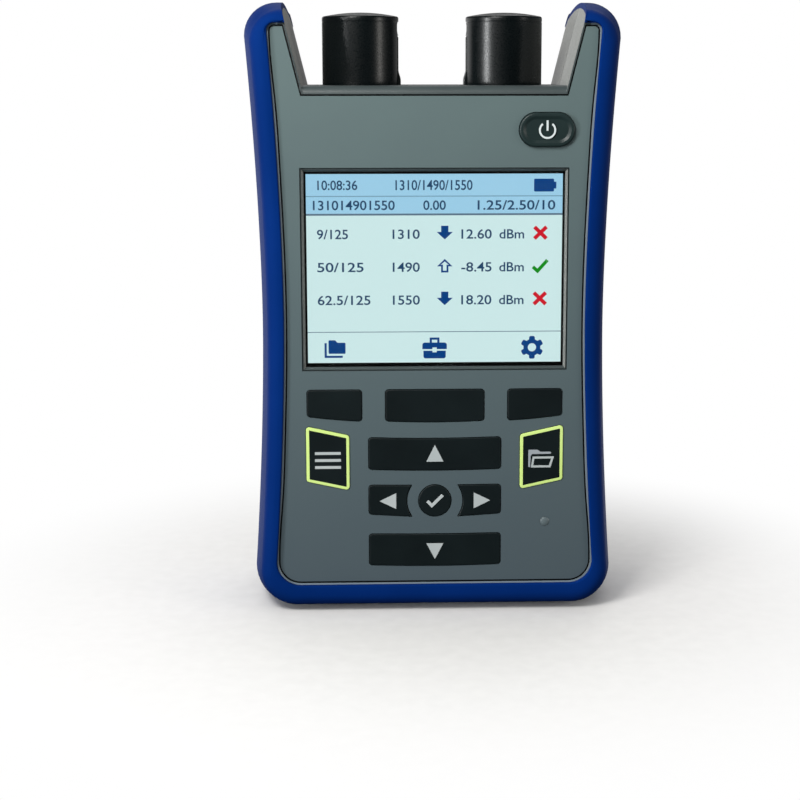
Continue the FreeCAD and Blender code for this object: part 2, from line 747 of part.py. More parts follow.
def make_nut():
    top = DECK_Z - WALL
    nut = hexagon(NUT_ACROSS, top - NUT_THICK, top)
    return nut.cut(cylinder(COLLAR_RADIUS + ADAPTER_FIT, Vector(0, 0, 0), Vector(0, 0, 1), FAR))


def make_adapter():
    """Square-bodied adapter with a keyway and the holder for the alignment sleeve."""
    body = adapter_outer(0)
    floor = MOUTH_Z - SOCKET_DEPTH
    half_x = SOCKET_X / 2
    half_y = SOCKET_Y / 2
    socket = box(-half_x, half_x, -half_y, half_y, floor, MOUTH_Z)
    keyway = box(-KEYWAY_X / 2, KEYWAY_X / 2, -FAR, 0, MOUTH_Z - KEYWAY_DEPTH, MOUTH_Z)
    holder_height = SOCKET_DEPTH - HOLDER_DROP
    holder = cylinder(HOLDER_RADIUS, Vector(0, 0, floor), Vector(0, 0, 1), holder_height)
    bore_base = Vector(0, 0, MOUTH_Z - SLEEVE_DROP - SLEEVE_LENGTH)
    bore = cylinder(SLEEVE_RADIUS + SLEEVE_FIT, bore_base, Vector(0, 0, 1), SLEEVE_LENGTH + PAST)
    keyway = keyway.common(box(-FAR, FAR, -half_y - ADAPTER_WALL / 2, 0, 0, FAR))
    return body.cut(socket).cut(keyway).fuse(holder).cut(bore)


def make_sleeve():
    base = Vector(0, 0, MOUTH_Z - SLEEVE_DROP - SLEEVE_LENGTH)
    sleeve = cylinder(SLEEVE_RADIUS, base, Vector(0, 0, 1), SLEEVE_LENGTH)
    sleeve = sleeve.cut(cylinder(SLEEVE_BORE, base, Vector(0, 0, 1), SLEEVE_LENGTH))
    return sleeve.cut(box(-SLEEVE_SLIT / 2, SLEEVE_SLIT / 2, 0, FAR, 0, FAR))


def make_detector():
    """The optical module that hangs under each adapter."""
    top = DECK_Z - ADAPTER_BELOW
    front = MAIN_BOARD_Y + BOARD_THICK
    return box(-DETECTOR_HALF_X, DETECTOR_HALF_X, front, front + DETECTOR_THICK,
               top - DETECTOR_LENGTH, top)


def cap_form():
    """The cap's outside: a round barrel with a slightly domed, soft-edged top."""
    rim = DECK_Z + CAP_HEIGHT
    crown = rim + CAP_DOME
    dome_radius = (CAP_RADIUS ** 2 + CAP_DOME ** 2) / (2 * CAP_DOME)
    barrel = cylinder(CAP_RADIUS, Vector(0, 0, CAP_BOTTOM_Z), Vector(0, 0, 1), crown - CAP_BOTTOM_Z)
    form = barrel.common(Part.makeSphere(dome_radius, Vector(0, 0, crown - dome_radius)))
    return form.makeFillet(CAP_EDGE, level_edges(form.Edges, rim))


def make_cap():
    """Round push-on dust cap, with a slot in its inner side for the strap."""
    bore_height = CAP_HEIGHT - CAP_ROOF - CAP_LIFT
    bore = cylinder(COLLAR_RADIUS + CAP_FIT, Vector(0, 0, CAP_BOTTOM_Z), Vector(0, 0, 1), bore_height)
    slot_half = STRAP_HALF + STRAP_SIDE_GAP
    slot = box(CAP_RADIUS - STRAP_SLOT, FAR, -slot_half, slot_half, 0, DECK_Z + STRAP_TOP + STRAP_SIDE_GAP)
    return cap_form().cut(bore).cut(slot)


def make_strap():
    """Retaining strap: a strip up the cap's side from a thicker foot on the deck."""
    inner = CAP_RADIUS - STRAP_SLOT + STRAP_SIDE_GAP
    strip = box(inner, inner + STRAP_THICK, -STRAP_HALF, STRAP_HALF, DECK_Z, DECK_Z + STRAP_TOP)
    foot = box(inner, CAP_RADIUS + STRAP_FOOT_PROUD, -STRAP_HALF, STRAP_HALF, DECK_Z,
               DECK_Z + STRAP_FOOT_HEIGHT)
    top = level_edges(foot.Edges, DECK_Z + STRAP_FOOT_HEIGHT)
    outer = [edge for edge in top if edge.BoundBox.XMin > CAP_RADIUS]
    return strip.fuse(foot.makeFillet(STRAP_FOOT_PROUD, outer)).removeSplitter()


def usb_prism(grow, z0, z1):
    half_x = USB_HALF_X + grow
    half_y = USB_HALF_Y + grow
    slot = box(-half_x, half_x, -half_y, half_y, z0, z1)
    upright = [edge for edge in slot.Edges if edge.BoundBox.ZLength > USB_FLOOR]
    return slot.makeFillet(half_y * USB_END_ROUND, upright)


def make_usb_socket():
    top = DECK_Z - USB_SUNK
    bottom = top - USB_DEPTH
    can = usb_prism(0, bottom, top).cut(usb_prism(-USB_WALL, bottom + USB_FLOOR, top))
    tongue = box(-USB_TONGUE_HALF_X, USB_TONGUE_HALF_X, -USB_TONGUE_HALF_Y, USB_TONGUE_HALF_Y,
                 bottom + USB_FLOOR / 2, top - USB_TONGUE_SUNK)
    return can.fuse(tongue).removeSplitter()


# ---- Inside ----

def make_main_board():
    board = box(-MAIN_BOARD_HALF_X, MAIN_BOARD_HALF_X, MAIN_BOARD_Y, MAIN_BOARD_Y + BOARD_THICK,
                MAIN_BOARD_LOW, MAIN_BOARD_HIGH)
    return cut_bosses(board)


def make_battery():
    rear = REAR_INNER_Y - BATTERY_FIT
    return box(-BATTERY_HALF_X, BATTERY_HALF_X, rear - BATTERY_THICK, rear,
               BATTERY_LOW + BATTERY_FIT, BATTERY_HIGH - BATTERY_FIT)


def on_port(shape, side):
    """Places a right-hand port piece on its side; the left one is its mirror image."""
    placed = shape.copy()
    if side == "right":
        placed = mirrored(placed)
        placed.translate(Vector(PORT_X, 0, 0))
        return placed
    placed.translate(Vector(-PORT_X, 0, 0))
    return placed


def build():
    nodes = {
        "rubber_boot": make_boot(),
        "front_housing": make_front_housing(),
        "rear_housing": make_rear_housing(),
        "keypad_overlay": make_overlay(),
        "display_window": make_window(),
        "display_gasket": make_gasket(),
        "lcd_module": make_lcd(),
        "light_pipe": make_light_pipe(),
        "keypad_mat": make_mat(),
        "key_board": make_key_board(),
        "power_switch": make_power_switch(),
        "main_board": make_main_board(),
        "battery_pack": make_battery(),
        "usb_socket": make_usb_socket(),
    }
    for name, face in pad_faces().items():
        nodes[name] = make_key(face, KEY_PROUD, KEY_EDGE)
    nodes["power_key"] = make_power_key()
    port_pieces = {
        "port_collar": make_collar(),
        "port_nut": make_nut(),
        "port_adapter": make_adapter(),
        "port_sleeve": make_sleeve(),
        "detector_module": make_detector(),
        "port_cap": make_cap(),
        "cap_strap": make_strap(),
    }
    for side in ("left", "right"):
        for name, shape in port_pieces.items():
            nodes[side + "_" + name] = on_port(shape, side)
    return nodes


os.makedirs("parts", exist_ok=True)
for node, shape in build().items():
    shape.exportStep("parts/" + node + ".step")
    state = "valid" if shape.isValid() else "INVALID"
    print(node, len(shape.Solids), state, round(shape.Volume, 1), shape.BoundBox)
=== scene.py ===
import json
import math

import bmesh
import bpy
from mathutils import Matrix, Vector


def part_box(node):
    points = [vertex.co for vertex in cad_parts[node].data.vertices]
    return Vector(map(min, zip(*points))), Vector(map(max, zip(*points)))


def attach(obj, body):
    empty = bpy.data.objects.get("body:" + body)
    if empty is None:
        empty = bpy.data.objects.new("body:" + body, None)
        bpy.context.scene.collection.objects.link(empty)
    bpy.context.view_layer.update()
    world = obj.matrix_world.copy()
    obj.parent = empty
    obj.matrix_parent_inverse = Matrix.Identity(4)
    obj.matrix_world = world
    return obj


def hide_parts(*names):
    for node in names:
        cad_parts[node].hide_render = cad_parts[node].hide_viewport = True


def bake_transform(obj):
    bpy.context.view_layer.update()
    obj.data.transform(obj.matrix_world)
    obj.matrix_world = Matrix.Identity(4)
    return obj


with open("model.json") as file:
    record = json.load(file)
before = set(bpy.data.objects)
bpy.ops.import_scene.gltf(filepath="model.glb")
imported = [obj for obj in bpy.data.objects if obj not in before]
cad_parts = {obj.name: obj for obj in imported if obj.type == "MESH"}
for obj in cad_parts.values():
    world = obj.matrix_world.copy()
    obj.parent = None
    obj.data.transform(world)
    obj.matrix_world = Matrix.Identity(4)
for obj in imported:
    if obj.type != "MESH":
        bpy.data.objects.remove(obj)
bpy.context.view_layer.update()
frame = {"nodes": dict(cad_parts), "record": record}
nodes = frame["nodes"]

# Sizes are in millimetres, and each mesh is scaled to metres as it is finished.
MM = 0.001
NOTCH_HALF = 35.9          # half width of the deck between the ears
EAR_SLOPE = 0.249          # how far the ears' inner faces lean out for each unit of height
SCREEN_LIFT = 0.15         # from the window's middle up to the lit area's


def box_mm(node):
    """The low and high corners of a CAD node's box, in millimetres."""
    low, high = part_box(node)
    return low / MM, high / MM


window_low, window_high = box_mm("display_window")
boot_low, boot_high = box_mm("rubber_boot")
SCREEN_Z = (window_low.z + window_high.z) / 2 + SCREEN_LIFT
DECK_Z = box_mm("left_cap_strap")[0].z
CAP_TOP_Z = box_mm("left_port_cap")[1].z
FRONT_Y = boot_low.y
TOP_Z = boot_high.z
FACE_Y = box_mm("front_housing")[0].y
OVERLAY_Y = box_mm("keypad_overlay")[0].y
LCD_Y = box_mm("lcd_module")[0].y


# ---- Materials ----
# Colours are display values, 0 to 255 each. The housing's limits are in millimetres.

GRAIN_SWING = 0.06         # of a moulded surface's roughness, to each side
LIP_BEYOND = 1.9           # from the deck's half width out to the lip beside the boot, which is painted paler as painted light
LIP_BELOW = 12             # height up to which the lip and the groove run along the foot
GROOVE_BEYOND = 0.5        # from the deck's half width out to the groove round the ears
GROOVE_UNDER_DECK = (5, 1.6)       # how far under the deck the groove below it begins and ends
GROOVE_DEPTHS = (0.15, 3)  # how far behind the overlay's face the groove begins and ends
FRONT_FACING = -0.9        # y of the normal under which a surface counts as facing the front
SIDE_FACING = (0.6, 0.9)   # x of the normal between which a surface turns into a side, speckled with real grain and painted paler as painted light
BOOT_HIGHLIGHT = (0.06, 0.28, 1.0, 1.0)
BACKLIGHT = 1.1
PIXELS = 1400              # scale of the waves that draw the display's pixel grid
PIXEL_GAP = 0.94           # how bright the display's colours are between its pixels


def linear(colour):
    """A display colour, 0 to 255 each, as linear light; a socket stays as it is."""
    if isinstance(colour, bpy.types.NodeSocket):
        return colour
    light = [((c / 255 + 0.055) / 1.055) ** 2.4 if c > 10 else c / 255 / 12.92 for c in colour]
    return light + [1]


def wire(node, inputs):
    """Sets a node's inputs, or joins those whose value is a socket."""
    for name, value in inputs.items():
        if isinstance(value, bpy.types.NodeSocket):
            node.id_data.links.new(value, node.inputs[name])
        else:
            node.inputs[name].default_value = value


def principled(name, colour, roughness, specular, metallic=0.0):
    """A new material and its shader, with the constant values set on the shader itself."""
    material = bpy.data.materials.new(name)
    material.use_nodes = True
    shader = material.node_tree.nodes["Principled BSDF"]
    wire(shader, {"Base Color": linear(colour), "Roughness": roughness,
                  "Specular IOR Level": specular, "Metallic": metallic})
    return material, shader


def node_of(tree, kind, inputs=None, **settings):
    """A new shader node with its settings and inputs."""
    node = tree.nodes.new("ShaderNode" + kind)
    for name, value in settings.items():
        setattr(node, name, value)
    wire(node, inputs or {})
    return node


def noise(tree, scale, detail, stretch=(1, 1, 1)):
    """Noise with scale cells in a metre, in the object's own coordinates."""
    place = node_of(tree, "TexCoord").outputs["Object"]
    cells = node_of(tree, "Mapping", {"Scale": stretch, "Vector": place}).outputs["Vector"]
    inputs = {"Scale": scale, "Detail": detail, "Vector": cells}
    return node_of(tree, "TexNoise", inputs).outputs["Fac"]


def spread(tree, value, low, high, from_low=0.3, from_high=0.7):
    """The value stretched from its own range to low..high."""
    inputs = {"Value": value, "From Min": from_low, "From Max": from_high,
              "To Min": low, "To Max": high}
    return node_of(tree, "MapRange", inputs).outputs["Result"]


def combine(tree, operation, *values):
    """One mathematical step; each value is a number or a socket."""
    return node_of(tree, "Math", dict(enumerate(values)), operation=operation).outputs[0]


def blend_colours(tree, factor, first, second):
    """A mix from first to second by factor; each is a display colour or a socket."""
    inputs = {"Factor": factor, "A": linear(first), "B": linear(second)}
    return node_of(tree, "Mix", inputs, data_type="RGBA").outputs["Result"]


def axes_of(tree, kind, output):
    """The x, y and z of a node's output: the surface's position or normal, or a direction."""
    return node_of(tree, "SeparateXYZ", {"Vector": node_of(tree, kind).outputs[output]}).outputs


def grain(tree, shader, height, depth, soft_edge=0.0):
    """Bump from height, whose full range stands for depth, on edges eased by soft_edge."""
    bump = node_of(tree, "Bump", {"Distance": depth * MM, "Height": height})
    if soft_edge:
        bevel = node_of(tree, "Bevel", {"Radius": soft_edge * MM}, samples=6)
        wire(bump, {"Normal": bevel.outputs["Normal"]})
    wire(shader, {"Normal": bump.outputs["Normal"]})


def moulded(name, dark, light, roughness, cell, depth, specular=0.5, drift=60, soft_edge=0.0):
    """Moulded plastic or rubber: slow drift of colour, fine grain in roughness and bump.

    The grain's cell and depth are in millimetres, and the drift is in cells to the metre.
    """
    material, shader = principled(name, light, roughness, specular)
    tree = material.node_tree
    slow = spread(tree, noise(tree, drift, 4), 0, 1)
    fine = noise(tree, 1 / (cell * MM), 2)
    wire(shader, {
        "Base Color": blend_colours(tree, slow, dark, light),
        "Roughness": spread(tree, fine, roughness - GRAIN_SWING, roughness + GRAIN_SWING),
    })
    grain(tree, shader, fine, depth, soft_edge)
    return material


def metal(name, dark, light, roughness, stretch=(1, 1, 12)):
    """Machined metal with fine turning marks."""
    material, shader = principled(name, light, roughness, 0.5, 1.0)
    tree = material.node_tree
    marks = noise(tree, 900, 2, stretch)
    wire(shader, {
        "Base Color": blend_colours(tree, spread(tree, marks, 0, 1), dark, light),
        "Roughness": spread(tree, marks, roughness - 0.08, roughness + 0.1),
    })
    grain(tree, shader, marks, 0.01)
    return material


def housing_plastic():
    """Grey plastic with speckled grain on its rough sides; painted light makes those sides and the
    lip beside the boot paler, and painted shade makes the groove black.
    """
    material = moulded("housing_plastic", (60, 69, 70), (67, 77, 78), 0.42, 0.3, 0.035,
                       soft_edge=0.12)
    tree = material.node_tree
    shader = tree.nodes["Principled BSDF"]
    place = axes_of(tree, "NewGeometry", "Position")
    normal = axes_of(tree, "NewGeometry", "Normal")
    rise = combine(tree, "MAXIMUM", combine(tree, "SUBTRACT", place["Z"], DECK_Z * MM), 0)
    lean = combine(tree, "MULTIPLY", rise, EAR_SLOPE)
    reach = combine(tree, "SUBTRACT", combine(tree, "ABSOLUTE", place["X"]), lean)
    # Painted light: the lip beside the boot is painted paler than the rest of the housing.
    flat = combine(tree, "LESS_THAN", normal["Y"], FRONT_FACING)
    beside = combine(tree, "GREATER_THAN", reach, (NOTCH_HALF + LIP_BEYOND) * MM)
    below = combine(tree, "LESS_THAN", place["Z"], LIP_BELOW * MM)
    edge = combine(tree, "MAXIMUM", beside, below)
    painted_light_lip = combine(tree, "MULTIPLY", edge, flat)
    # Painted light: surfaces facing sideways are painted paler as their sheen; their speckle is
    # real grain.
    grain_and_sheen_sides = spread(tree, combine(tree, "ABSOLUTE", normal["X"]), 0, 1, *SIDE_FACING)
    # Painted shade: the groove's floor and walls are painted near black.
    lowest, highest = [(DECK_Z - under) * MM for under in GROOVE_UNDER_DECK]
    nearest, farthest = [(OVERLAY_Y + behind) * MM for behind in GROOVE_DEPTHS]
    round_ears = combine(tree, "GREATER_THAN", reach, (NOTCH_HALF + GROOVE_BEYOND) * MM)
    under_deck = combine(tree, "LESS_THAN", place["Z"], highest)
    upper = combine(tree, "GREATER_THAN", place["Z"], lowest)
    round_top = combine(tree, "MULTIPLY", combine(tree, "MAXIMUM", round_ears, under_deck), upper)
    sunk = combine(tree, "GREATER_THAN", place["Y"], nearest)
    shallow = combine(tree, "LESS_THAN", place["Y"], farthest)
    painted_shade_groove = combine(tree, "MULTIPLY", sunk, combine(tree, "MAXIMUM", round_top, edge))
    painted_shade_groove = combine(tree, "MULTIPLY", painted_shade_groove, shallow)
    colour = shader.inputs["Base Color"].links[0].from_socket
    specks = spread(tree, noise(tree, 2400, 2), 0, 1)
    speckle_and_sheen = blend_colours(tree, specks, (116, 119, 116), (160, 162, 158))
    # Painted light on the lip and the sides, painted shade in the groove.
    for share, shade in ((painted_light_lip, (124, 138, 148)), (grain_and_sheen_sides, speckle_and_sheen), (painted_shade_groove, (3, 4, 5))):
        colour = blend_colours(tree, share, colour, shade)
    wire(shader, {"Base Color": colour})
    return material


def overlay_film():
    """Screen-printed polyester, grey, with painted light and shade: lighter and greener by the
    ports, darker and bluer by the foot.
    """
    material, shader = principled("overlay_film", (92, 105, 110), 0.45, 0.35)
    tree = material.node_tree
    # Painted light and shade: the film's colour runs from light at the top to dark at the foot.
    height = axes_of(tree, "NewGeometry", "Position")["Z"]
    rise = spread(tree, height, 0, 1, 0, DECK_Z * MM)
    painted_falloff = blend_colours(tree, rise, (74, 87, 95), (93, 111, 111))
    drift = spread(tree, noise(tree, 45, 3), 0, 0.25)
    velvet = noise(tree, 9000, 2)
    wire(shader, {"Base Color": blend_colours(tree, drift, painted_falloff, (82, 96, 100)),
                  "Roughness": spread(tree, velvet, 0.44, 0.58)})
    grain(tree, shader, velvet, 0.01, 0.1)
    return material


def window_glass():
    """Clear glass with a low index, so that little of the room mirrors in it."""
    material, shader = principled("window_glass", (255, 255, 255), 0.03, 0.3)
    tree = material.node_tree
    haze = spread(tree, noise(tree, 120, 3), 0.0, 0.05)
    wire(shader, {"Transmission Weight": 1.0, "IOR": 1.25, "Roughness": haze})
    return material


def lit_print(name, colour):
    """A field of the display's picture: backlit colour with a faint pixel grid."""
    material, shader = principled(name, (12, 12, 12), 0.4, 0.3)
    tree = material.node_tree
    inputs = {"Scale": PIXELS, "Vector": node_of(tree, "TexCoord").outputs["Object"]}
    waves = [node_of(tree, "TexWave", inputs, bands_direction=direction).outputs["Fac"]
             for direction in ("X", "Z")]
    both = combine(tree, "MULTIPLY", *waves)
    shade = [c * PIXEL_GAP for c in colour]
    wire(shader, {"Emission Strength": BACKLIGHT,
                  "Emission Color": blend_colours(tree, both, shade, colour)})
    return material


def boot_rubber():
    """Matt blue rubber, whose highlights are blue as well."""
    material = moulded("boot_rubber", (3, 37, 101), (5, 42, 111), 0.6, 0.16, 0.015, 0.14, 35)
    shader = material.node_tree.nodes["Principled BSDF"]
    wire(shader, {"Specular Tint": BOOT_HIGHLIGHT})
    return material


BOOT_BLUE = boot_rubber()
HOUSING = housing_plastic()
KEY_BLACK = moulded("key_plastic", (12, 21, 23), (18, 28, 30), 0.42, 0.2, 0.008, 0.3, soft_edge=0.1)
POWER_BLACK = moulded("power_rubber", (26, 40, 40), (33, 48, 48), 0.36, 0.2, 0.008, 0.35)
CAP_BLACK = moulded("cap_rubber", (2, 7, 9), (4, 12, 14), 0.31, 0.3, 0.003, 0.4)
COLLAR = moulded("collar_plastic", (38, 40, 42), (48, 50, 52), 0.42, 0.2, 0.015)
ADAPTER = moulded("adapter_plastic", (20, 92, 60), (28, 108, 70), 0.4, 0.2, 0.015)
CERAMIC = moulded("sleeve_ceramic", (226, 226, 220), (240, 240, 236), 0.2, 0.1, 0.004)
STEEL = metal("socket_steel", (150, 152, 155), (186, 188, 190), 0.32)
SCREW_STEEL = metal("screw_steel", (92, 94, 97), (130, 132, 135), 0.34, (1, 1, 1))
BOARD = moulded("circuit_board", (10, 62, 34), (16, 80, 44), 0.35, 0.4, 0.02)
PART_BLACK = moulded("circuit_part", (24, 24, 26), (36, 36, 38), 0.5, 0.3, 0.02)
SILICONE = moulded("silicone", (60, 64, 66), (74, 78, 80), 0.6, 0.3, 0.02)
FOAM = moulded("gasket_foam", (14, 14, 15), (26, 26, 27), 0.9, 0.4, 0.06, 0.2)
CELL = moulded("battery_sleeve", (22, 66, 118), (28, 78, 134), 0.35, 0.5, 0.01)
LENS = moulded("lens_plastic", (84, 97, 101), (95, 108, 112), 0.35, 0.2, 0.002, 0.45)
OVERLAY = overlay_film()
GLASS = window_glass()
LCD_BLACK = moulded("lcd_frame", (6, 7, 9), (12, 13, 15), 0.35, 0.2, 0.008)
PRINT_WHITE = moulded("print_white", (174, 183, 184), (188, 195, 196), 0.5, 0.25, 0.004)
PRINT_BRIGHT = moulded("print_bright", (202, 212, 213), (214, 223, 224), 0.5, 0.25, 0.004)
PRINT_GREY = moulded("print_grey", (150, 158, 166), (166, 172, 178), 0.5, 0.25, 0.004)
PRINT_LIME = moulded("print_lime", (210, 238, 136), (218, 245, 148), 0.45, 0.25, 0.006)

SLOT_MATERIALS = {
    "housing": HOUSING, "overlay": OVERLAY, "window": GLASS, "foam": FOAM, "lcd": LCD_BLACK,
    "silicone": SILICONE, "circuit_board": BOARD, "circuit_part": PART_BLACK, "battery": CELL,
    "steel": STEEL, "key_plastic": KEY_BLACK, "key_rubber": POWER_BLACK, "collar": COLLAR,
    "adapter": ADAPTER, "ceramic": CERAMIC, "module": PART_BLACK, "cap_rubber": CAP_BLACK,
    "boot_rubber": BOOT_BLUE,
}


def dress_frame():
    """Gives each CAD node the material of its slot in the record."""
    slots = {part["node"]: part["material_slot"] for part in frame["record"]["subparts"]}
    for name, node in nodes.items():
        material = LENS if name == "light_pipe" else SLOT_MATERIALS[slots[name]]
        node.data.materials.clear()
        node.data.materials.append(material)


# ---- Mesh helpers ----

def piece(name, bm, material, body, sharp=32):
    """A named piece made of a mesh in millimetres, which rides on a body if one is given."""
    bmesh.ops.recalc_face_normals(bm, faces=bm.faces)
    bmesh.ops.scale(bm, vec=(MM, MM, MM), verts=bm.verts)
    for face in bm.faces:
        face.smooth = True
    mesh = bpy.data.meshes.new(name)
    bm.to_mesh(mesh)
    bm.free()
    mesh.set_sharp_from_angle(angle=math.radians(sharp))
    mesh.materials.append(material)
    thing = bpy.data.objects.new(name, mesh)
    bpy.context.scene.collection.objects.link(thing)
    if body:
        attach(thing, body)
    return thing


def add_plate(bm, outline, y, thick):
    """A flat plate on a closed outline of (x, z) points, its front face at depth y."""
    front = [bm.verts.new((x, y, z)) for x, z in outline]
    back = [bm.verts.new((x, y + thick, z)) for x, z in outline]
    bm.faces.new(front)
    bm.faces.new(back[::-1])
    for i in range(len(outline)):
        j = i - 1
        bm.faces.new((front[j], back[j], back[i], front[i]))


def loft(bm, rings, closed_rings, closed_ends):
    """Quads between successive rings of points, with the same count in each."""
    rows = [[bm.verts.new(point) for point in ring] for ring in rings]
    count = len(rows[0])
    spans = count if closed_rings else count - 1
    following = rows[1:] + (rows[:1] if closed_ends else [])
    for row, next_row in zip(rows, following):
        for i in range(spans):
            j = (i + 1) % count
            bm.faces.new((row[i], row[j], next_row[j], next_row[i]))
    return rows


def solid_piece(name, rings, material, body, sharp):
    """A piece through closed rings, with a face over each end."""
    bm = bmesh.new()
    rows = loft(bm, rings, True, False)
    bm.faces.new(rows[-1])
    bm.faces.new(rows[0][::-1])
    return piece(name, bm, material, body, sharp)


def rectangle(x0, z0, x1, z1):
    """The closed outline between two opposite corners."""
    return [(x0, z0), (x1, z0), (x1, z1), (x0, z1)]


def arc(cx, cz, radius, start, end, steps):
    """Points on a circle, angles in degrees from +x towards +z."""
    angles = [math.radians(start + (end - start) * i / steps) for i in range(steps + 1)]
    return [(cx + radius * math.cos(a), cz + radius * math.sin(a)) for a in angles]


def rounded(points, radius, steps=5):
    """A closed outline with its corners rounded."""
    out = []
    count = len(points)
    for i in range(count):
        corner = Vector(points[i])
        start = corner + (Vector(points[i - 1]) - corner).normalized() * radius
        end = corner + (Vector(points[(i + 1) % count]) - corner).normalized() * radius
        for step in range(steps + 1):
            t = step / steps
            point = start.lerp(corner, t).lerp(corner.lerp(end, t), t)
            out.append((point.x, point.y))
    return out


def grown(outline, amount):
    """A closed outline moved out by amount, which is in for a negative one."""
    out = []
    count = len(outline)
    for i in range(count):
        here = Vector(outline[i])
        before = (here - Vector(outline[i - 1])).normalized()
        after = (Vector(outline[(i + 1) % count]) - here).normalized()
        normal = Vector((before.y + after.y, -before.x - after.x)).normalized()
        out.append(tuple(here + normal * amount / max(normal.dot((before.y, -before.x)), 0.5)))
    return out


def stroke(points, width):
    """The outline of a bent line of even width, mitred at its bends."""
    left, right = [], []
    for i, point in enumerate(points):
        here = Vector(point)
        runs = []
        if i:
            runs.append((here - Vector(points[i - 1])).normalized())
        if i + 1 < len(points):
            runs.append((Vector(points[i + 1]) - here).normalized())
        mean = sum(runs, Vector((0, 0))).normalized()
        side = Vector((-mean.y, mean.x)) * width / 2 / max(mean.dot(runs[0]), 0.3)
        left.append(tuple(here + side))
        right.append(tuple(here - side))
    return left + right[::-1]


def smooth(value, low, high):
    """An eased step: 0 up to low, 1 from high."""
    t = min(max((value - low) / (high - low), 0), 1)
    return t * t * (3 - 2 * t)


# ---- Boot ----
# Swept from the waisted outline, round the crowned side and the rolled rims to the openings.

WAIST_HALF = 48.6          # half widths at the waist, the ears and the foot
EAR_HALF = 52.3
FOOT_HALF = 51.7
WAIST_Z = 82.3
FLARE_POWER = 1.73
CROWN = 3.2                # how far the side draws in from its middle to the front and rear
BELLY_Z = -0.6             # bottom of the form, which is cut level at the floor
EAR_RADIUS = 9
FOOT_RADIUS = 10
EAR_Z = TOP_Z - EAR_RADIUS
FOOT_Z = BELLY_Z + FOOT_RADIUS
BOOT_WALL = 1.5
BOOT_ROLL = 4.0            # radius of the rims
LIP_ROUND = 0.45           # radius of the openings' edges
LIP_WIDTH = 1.2            # of the strip behind an opening's edge that lies on the housing
HOUSING_ROLL = 3.4         # radius of the housing's edges inside the boot
CONTACT = 0.03             # how far the boot clears the housing inside
ROLL_START = 13.4          # degrees round the rim's rounding at which it leaves the side
RIM_REACH = 0.96           # the most of the way to an opening that a rim may take up
# side inset, bottom and top height, bottom corner, and how the side inset grows with height
FRONT_OPENING = (7.2, 8.1, 163.7, 6.6, 0.35)
REAR_OPENING = (8.0, 7.4, 163.7, 7.0, 0)
OPENING_TOP_RADIUS = 2.0
FOOT_STEPS = 12            # steps along the half foot, and again round its corner
SIDE_STEPS = 48
EAR_STEPS = 10
END_STEPS = 3
CROWN_STEPS = 8            # steps from the side's middle to each rim
ROLL_STEPS = 12
LIP_STEPS = 5


def half_width(height):
    """Half the boot's width at a height, least at the waist."""
    rise = height - WAIST_Z
    if rise > 0:
        return WAIST_HALF + (EAR_HALF - WAIST_HALF) * (rise / (EAR_Z - WAIST_Z)) ** FLARE_POWER
    return WAIST_HALF + (FOOT_HALF - WAIST_HALF) * (-rise / (WAIST_Z - FOOT_Z)) ** FLARE_POWER


def boot_ring(y, inset, low, high, low_radius, high_radius, taper=0):
    """The right half of one outline, from the middle of the foot to the ear's inner end."""
    def side(height):
        return half_width(height) - inset - taper * (height - WAIST_Z) / (EAR_Z - WAIST_Z)

    start, end = low + low_radius, high - high_radius
    foot_x = side(start) - low_radius
    ear_x = side(end) - high_radius
    end_x = NOTCH_HALF + (high - DECK_Z) * EAR_SLOPE
    points = [(foot_x * i / FOOT_STEPS, low) for i in range(FOOT_STEPS)]
    points += arc(foot_x, start, low_radius, -90, 0, FOOT_STEPS)
    heights = [start + (end - start) * i / SIDE_STEPS for i in range(1, SIDE_STEPS)]
    points += [(side(height), height) for height in heights]
    points += arc(ear_x, end, high_radius, 0, 90, EAR_STEPS)
    points += [(ear_x + (end_x - ear_x) * i / END_STEPS, high) for i in range(1, END_STEPS + 1)]
    return [Vector((x, y, max(z, 0))) for x, z in points]


def form_ring(y, inset, shrink=0):
    """The form's outline at a depth, moved in by inset, with its corners tightened by shrink."""
    return boot_ring(y, inset, BELLY_Z + inset, TOP_Z - inset,
                     FOOT_RADIUS - shrink, EAR_RADIUS - shrink)


def crown_inset(y):
    """How far the crowned side has drawn in at a depth."""
    return CROWN * (y / FRONT_Y) ** 2


def opening_ring(y, grow, inset, low, high, low_radius, taper):
    """The opening in a face of the boot, grown outward."""
    return boot_ring(y, inset - grow, low - grow, high + grow, low_radius + grow,
                     OPENING_TOP_RADIUS + grow, taper)


def rolled_rim(side, opening):
    """Rings from the crowned side over a rim to the opening, for the front (-1) or rear (1)."""
    centre_y = -FRONT_Y - BOOT_ROLL
    start = math.radians(ROLL_START)
    start_y = centre_y + BOOT_ROLL * math.sin(start)
    start_inset = crown_inset(start_y)
    flat_inset = start_inset + BOOT_ROLL * math.cos(start)
    face_y = side * -FRONT_Y
    outer = form_ring(side * start_y, start_inset)
    flat = form_ring(face_y, flat_inset, flat_inset - CROWN)
    mouth = opening_ring(face_y, LIP_ROUND, *opening)
    shares = [min(1, RIM_REACH * (m - a).xz.length / (f - a).xz.length)
              for a, f, m in zip(outer, flat, mouth)]
    rings = []
    for step in range(1, ROLL_STEPS + 1):
        angle = start + (math.pi / 2 - start) * step / ROLL_STEPS
        along = (math.cos(start) - math.cos(angle)) / math.cos(start)
        ring = [a.lerp(f, share * along) for a, f, share in zip(outer, flat, shares)]
        for point in ring:
            point.y = side * (centre_y + BOOT_ROLL * math.sin(angle))
        rings.append(ring)
    for step in range(LIP_STEPS + 1):
        angle = math.radians(90 * step / LIP_STEPS)
        depth = face_y - side * LIP_ROUND * (1 - math.cos(angle))
        rings.append(opening_ring(depth, LIP_ROUND * (1 - math.sin(angle)), *opening))
    return rings


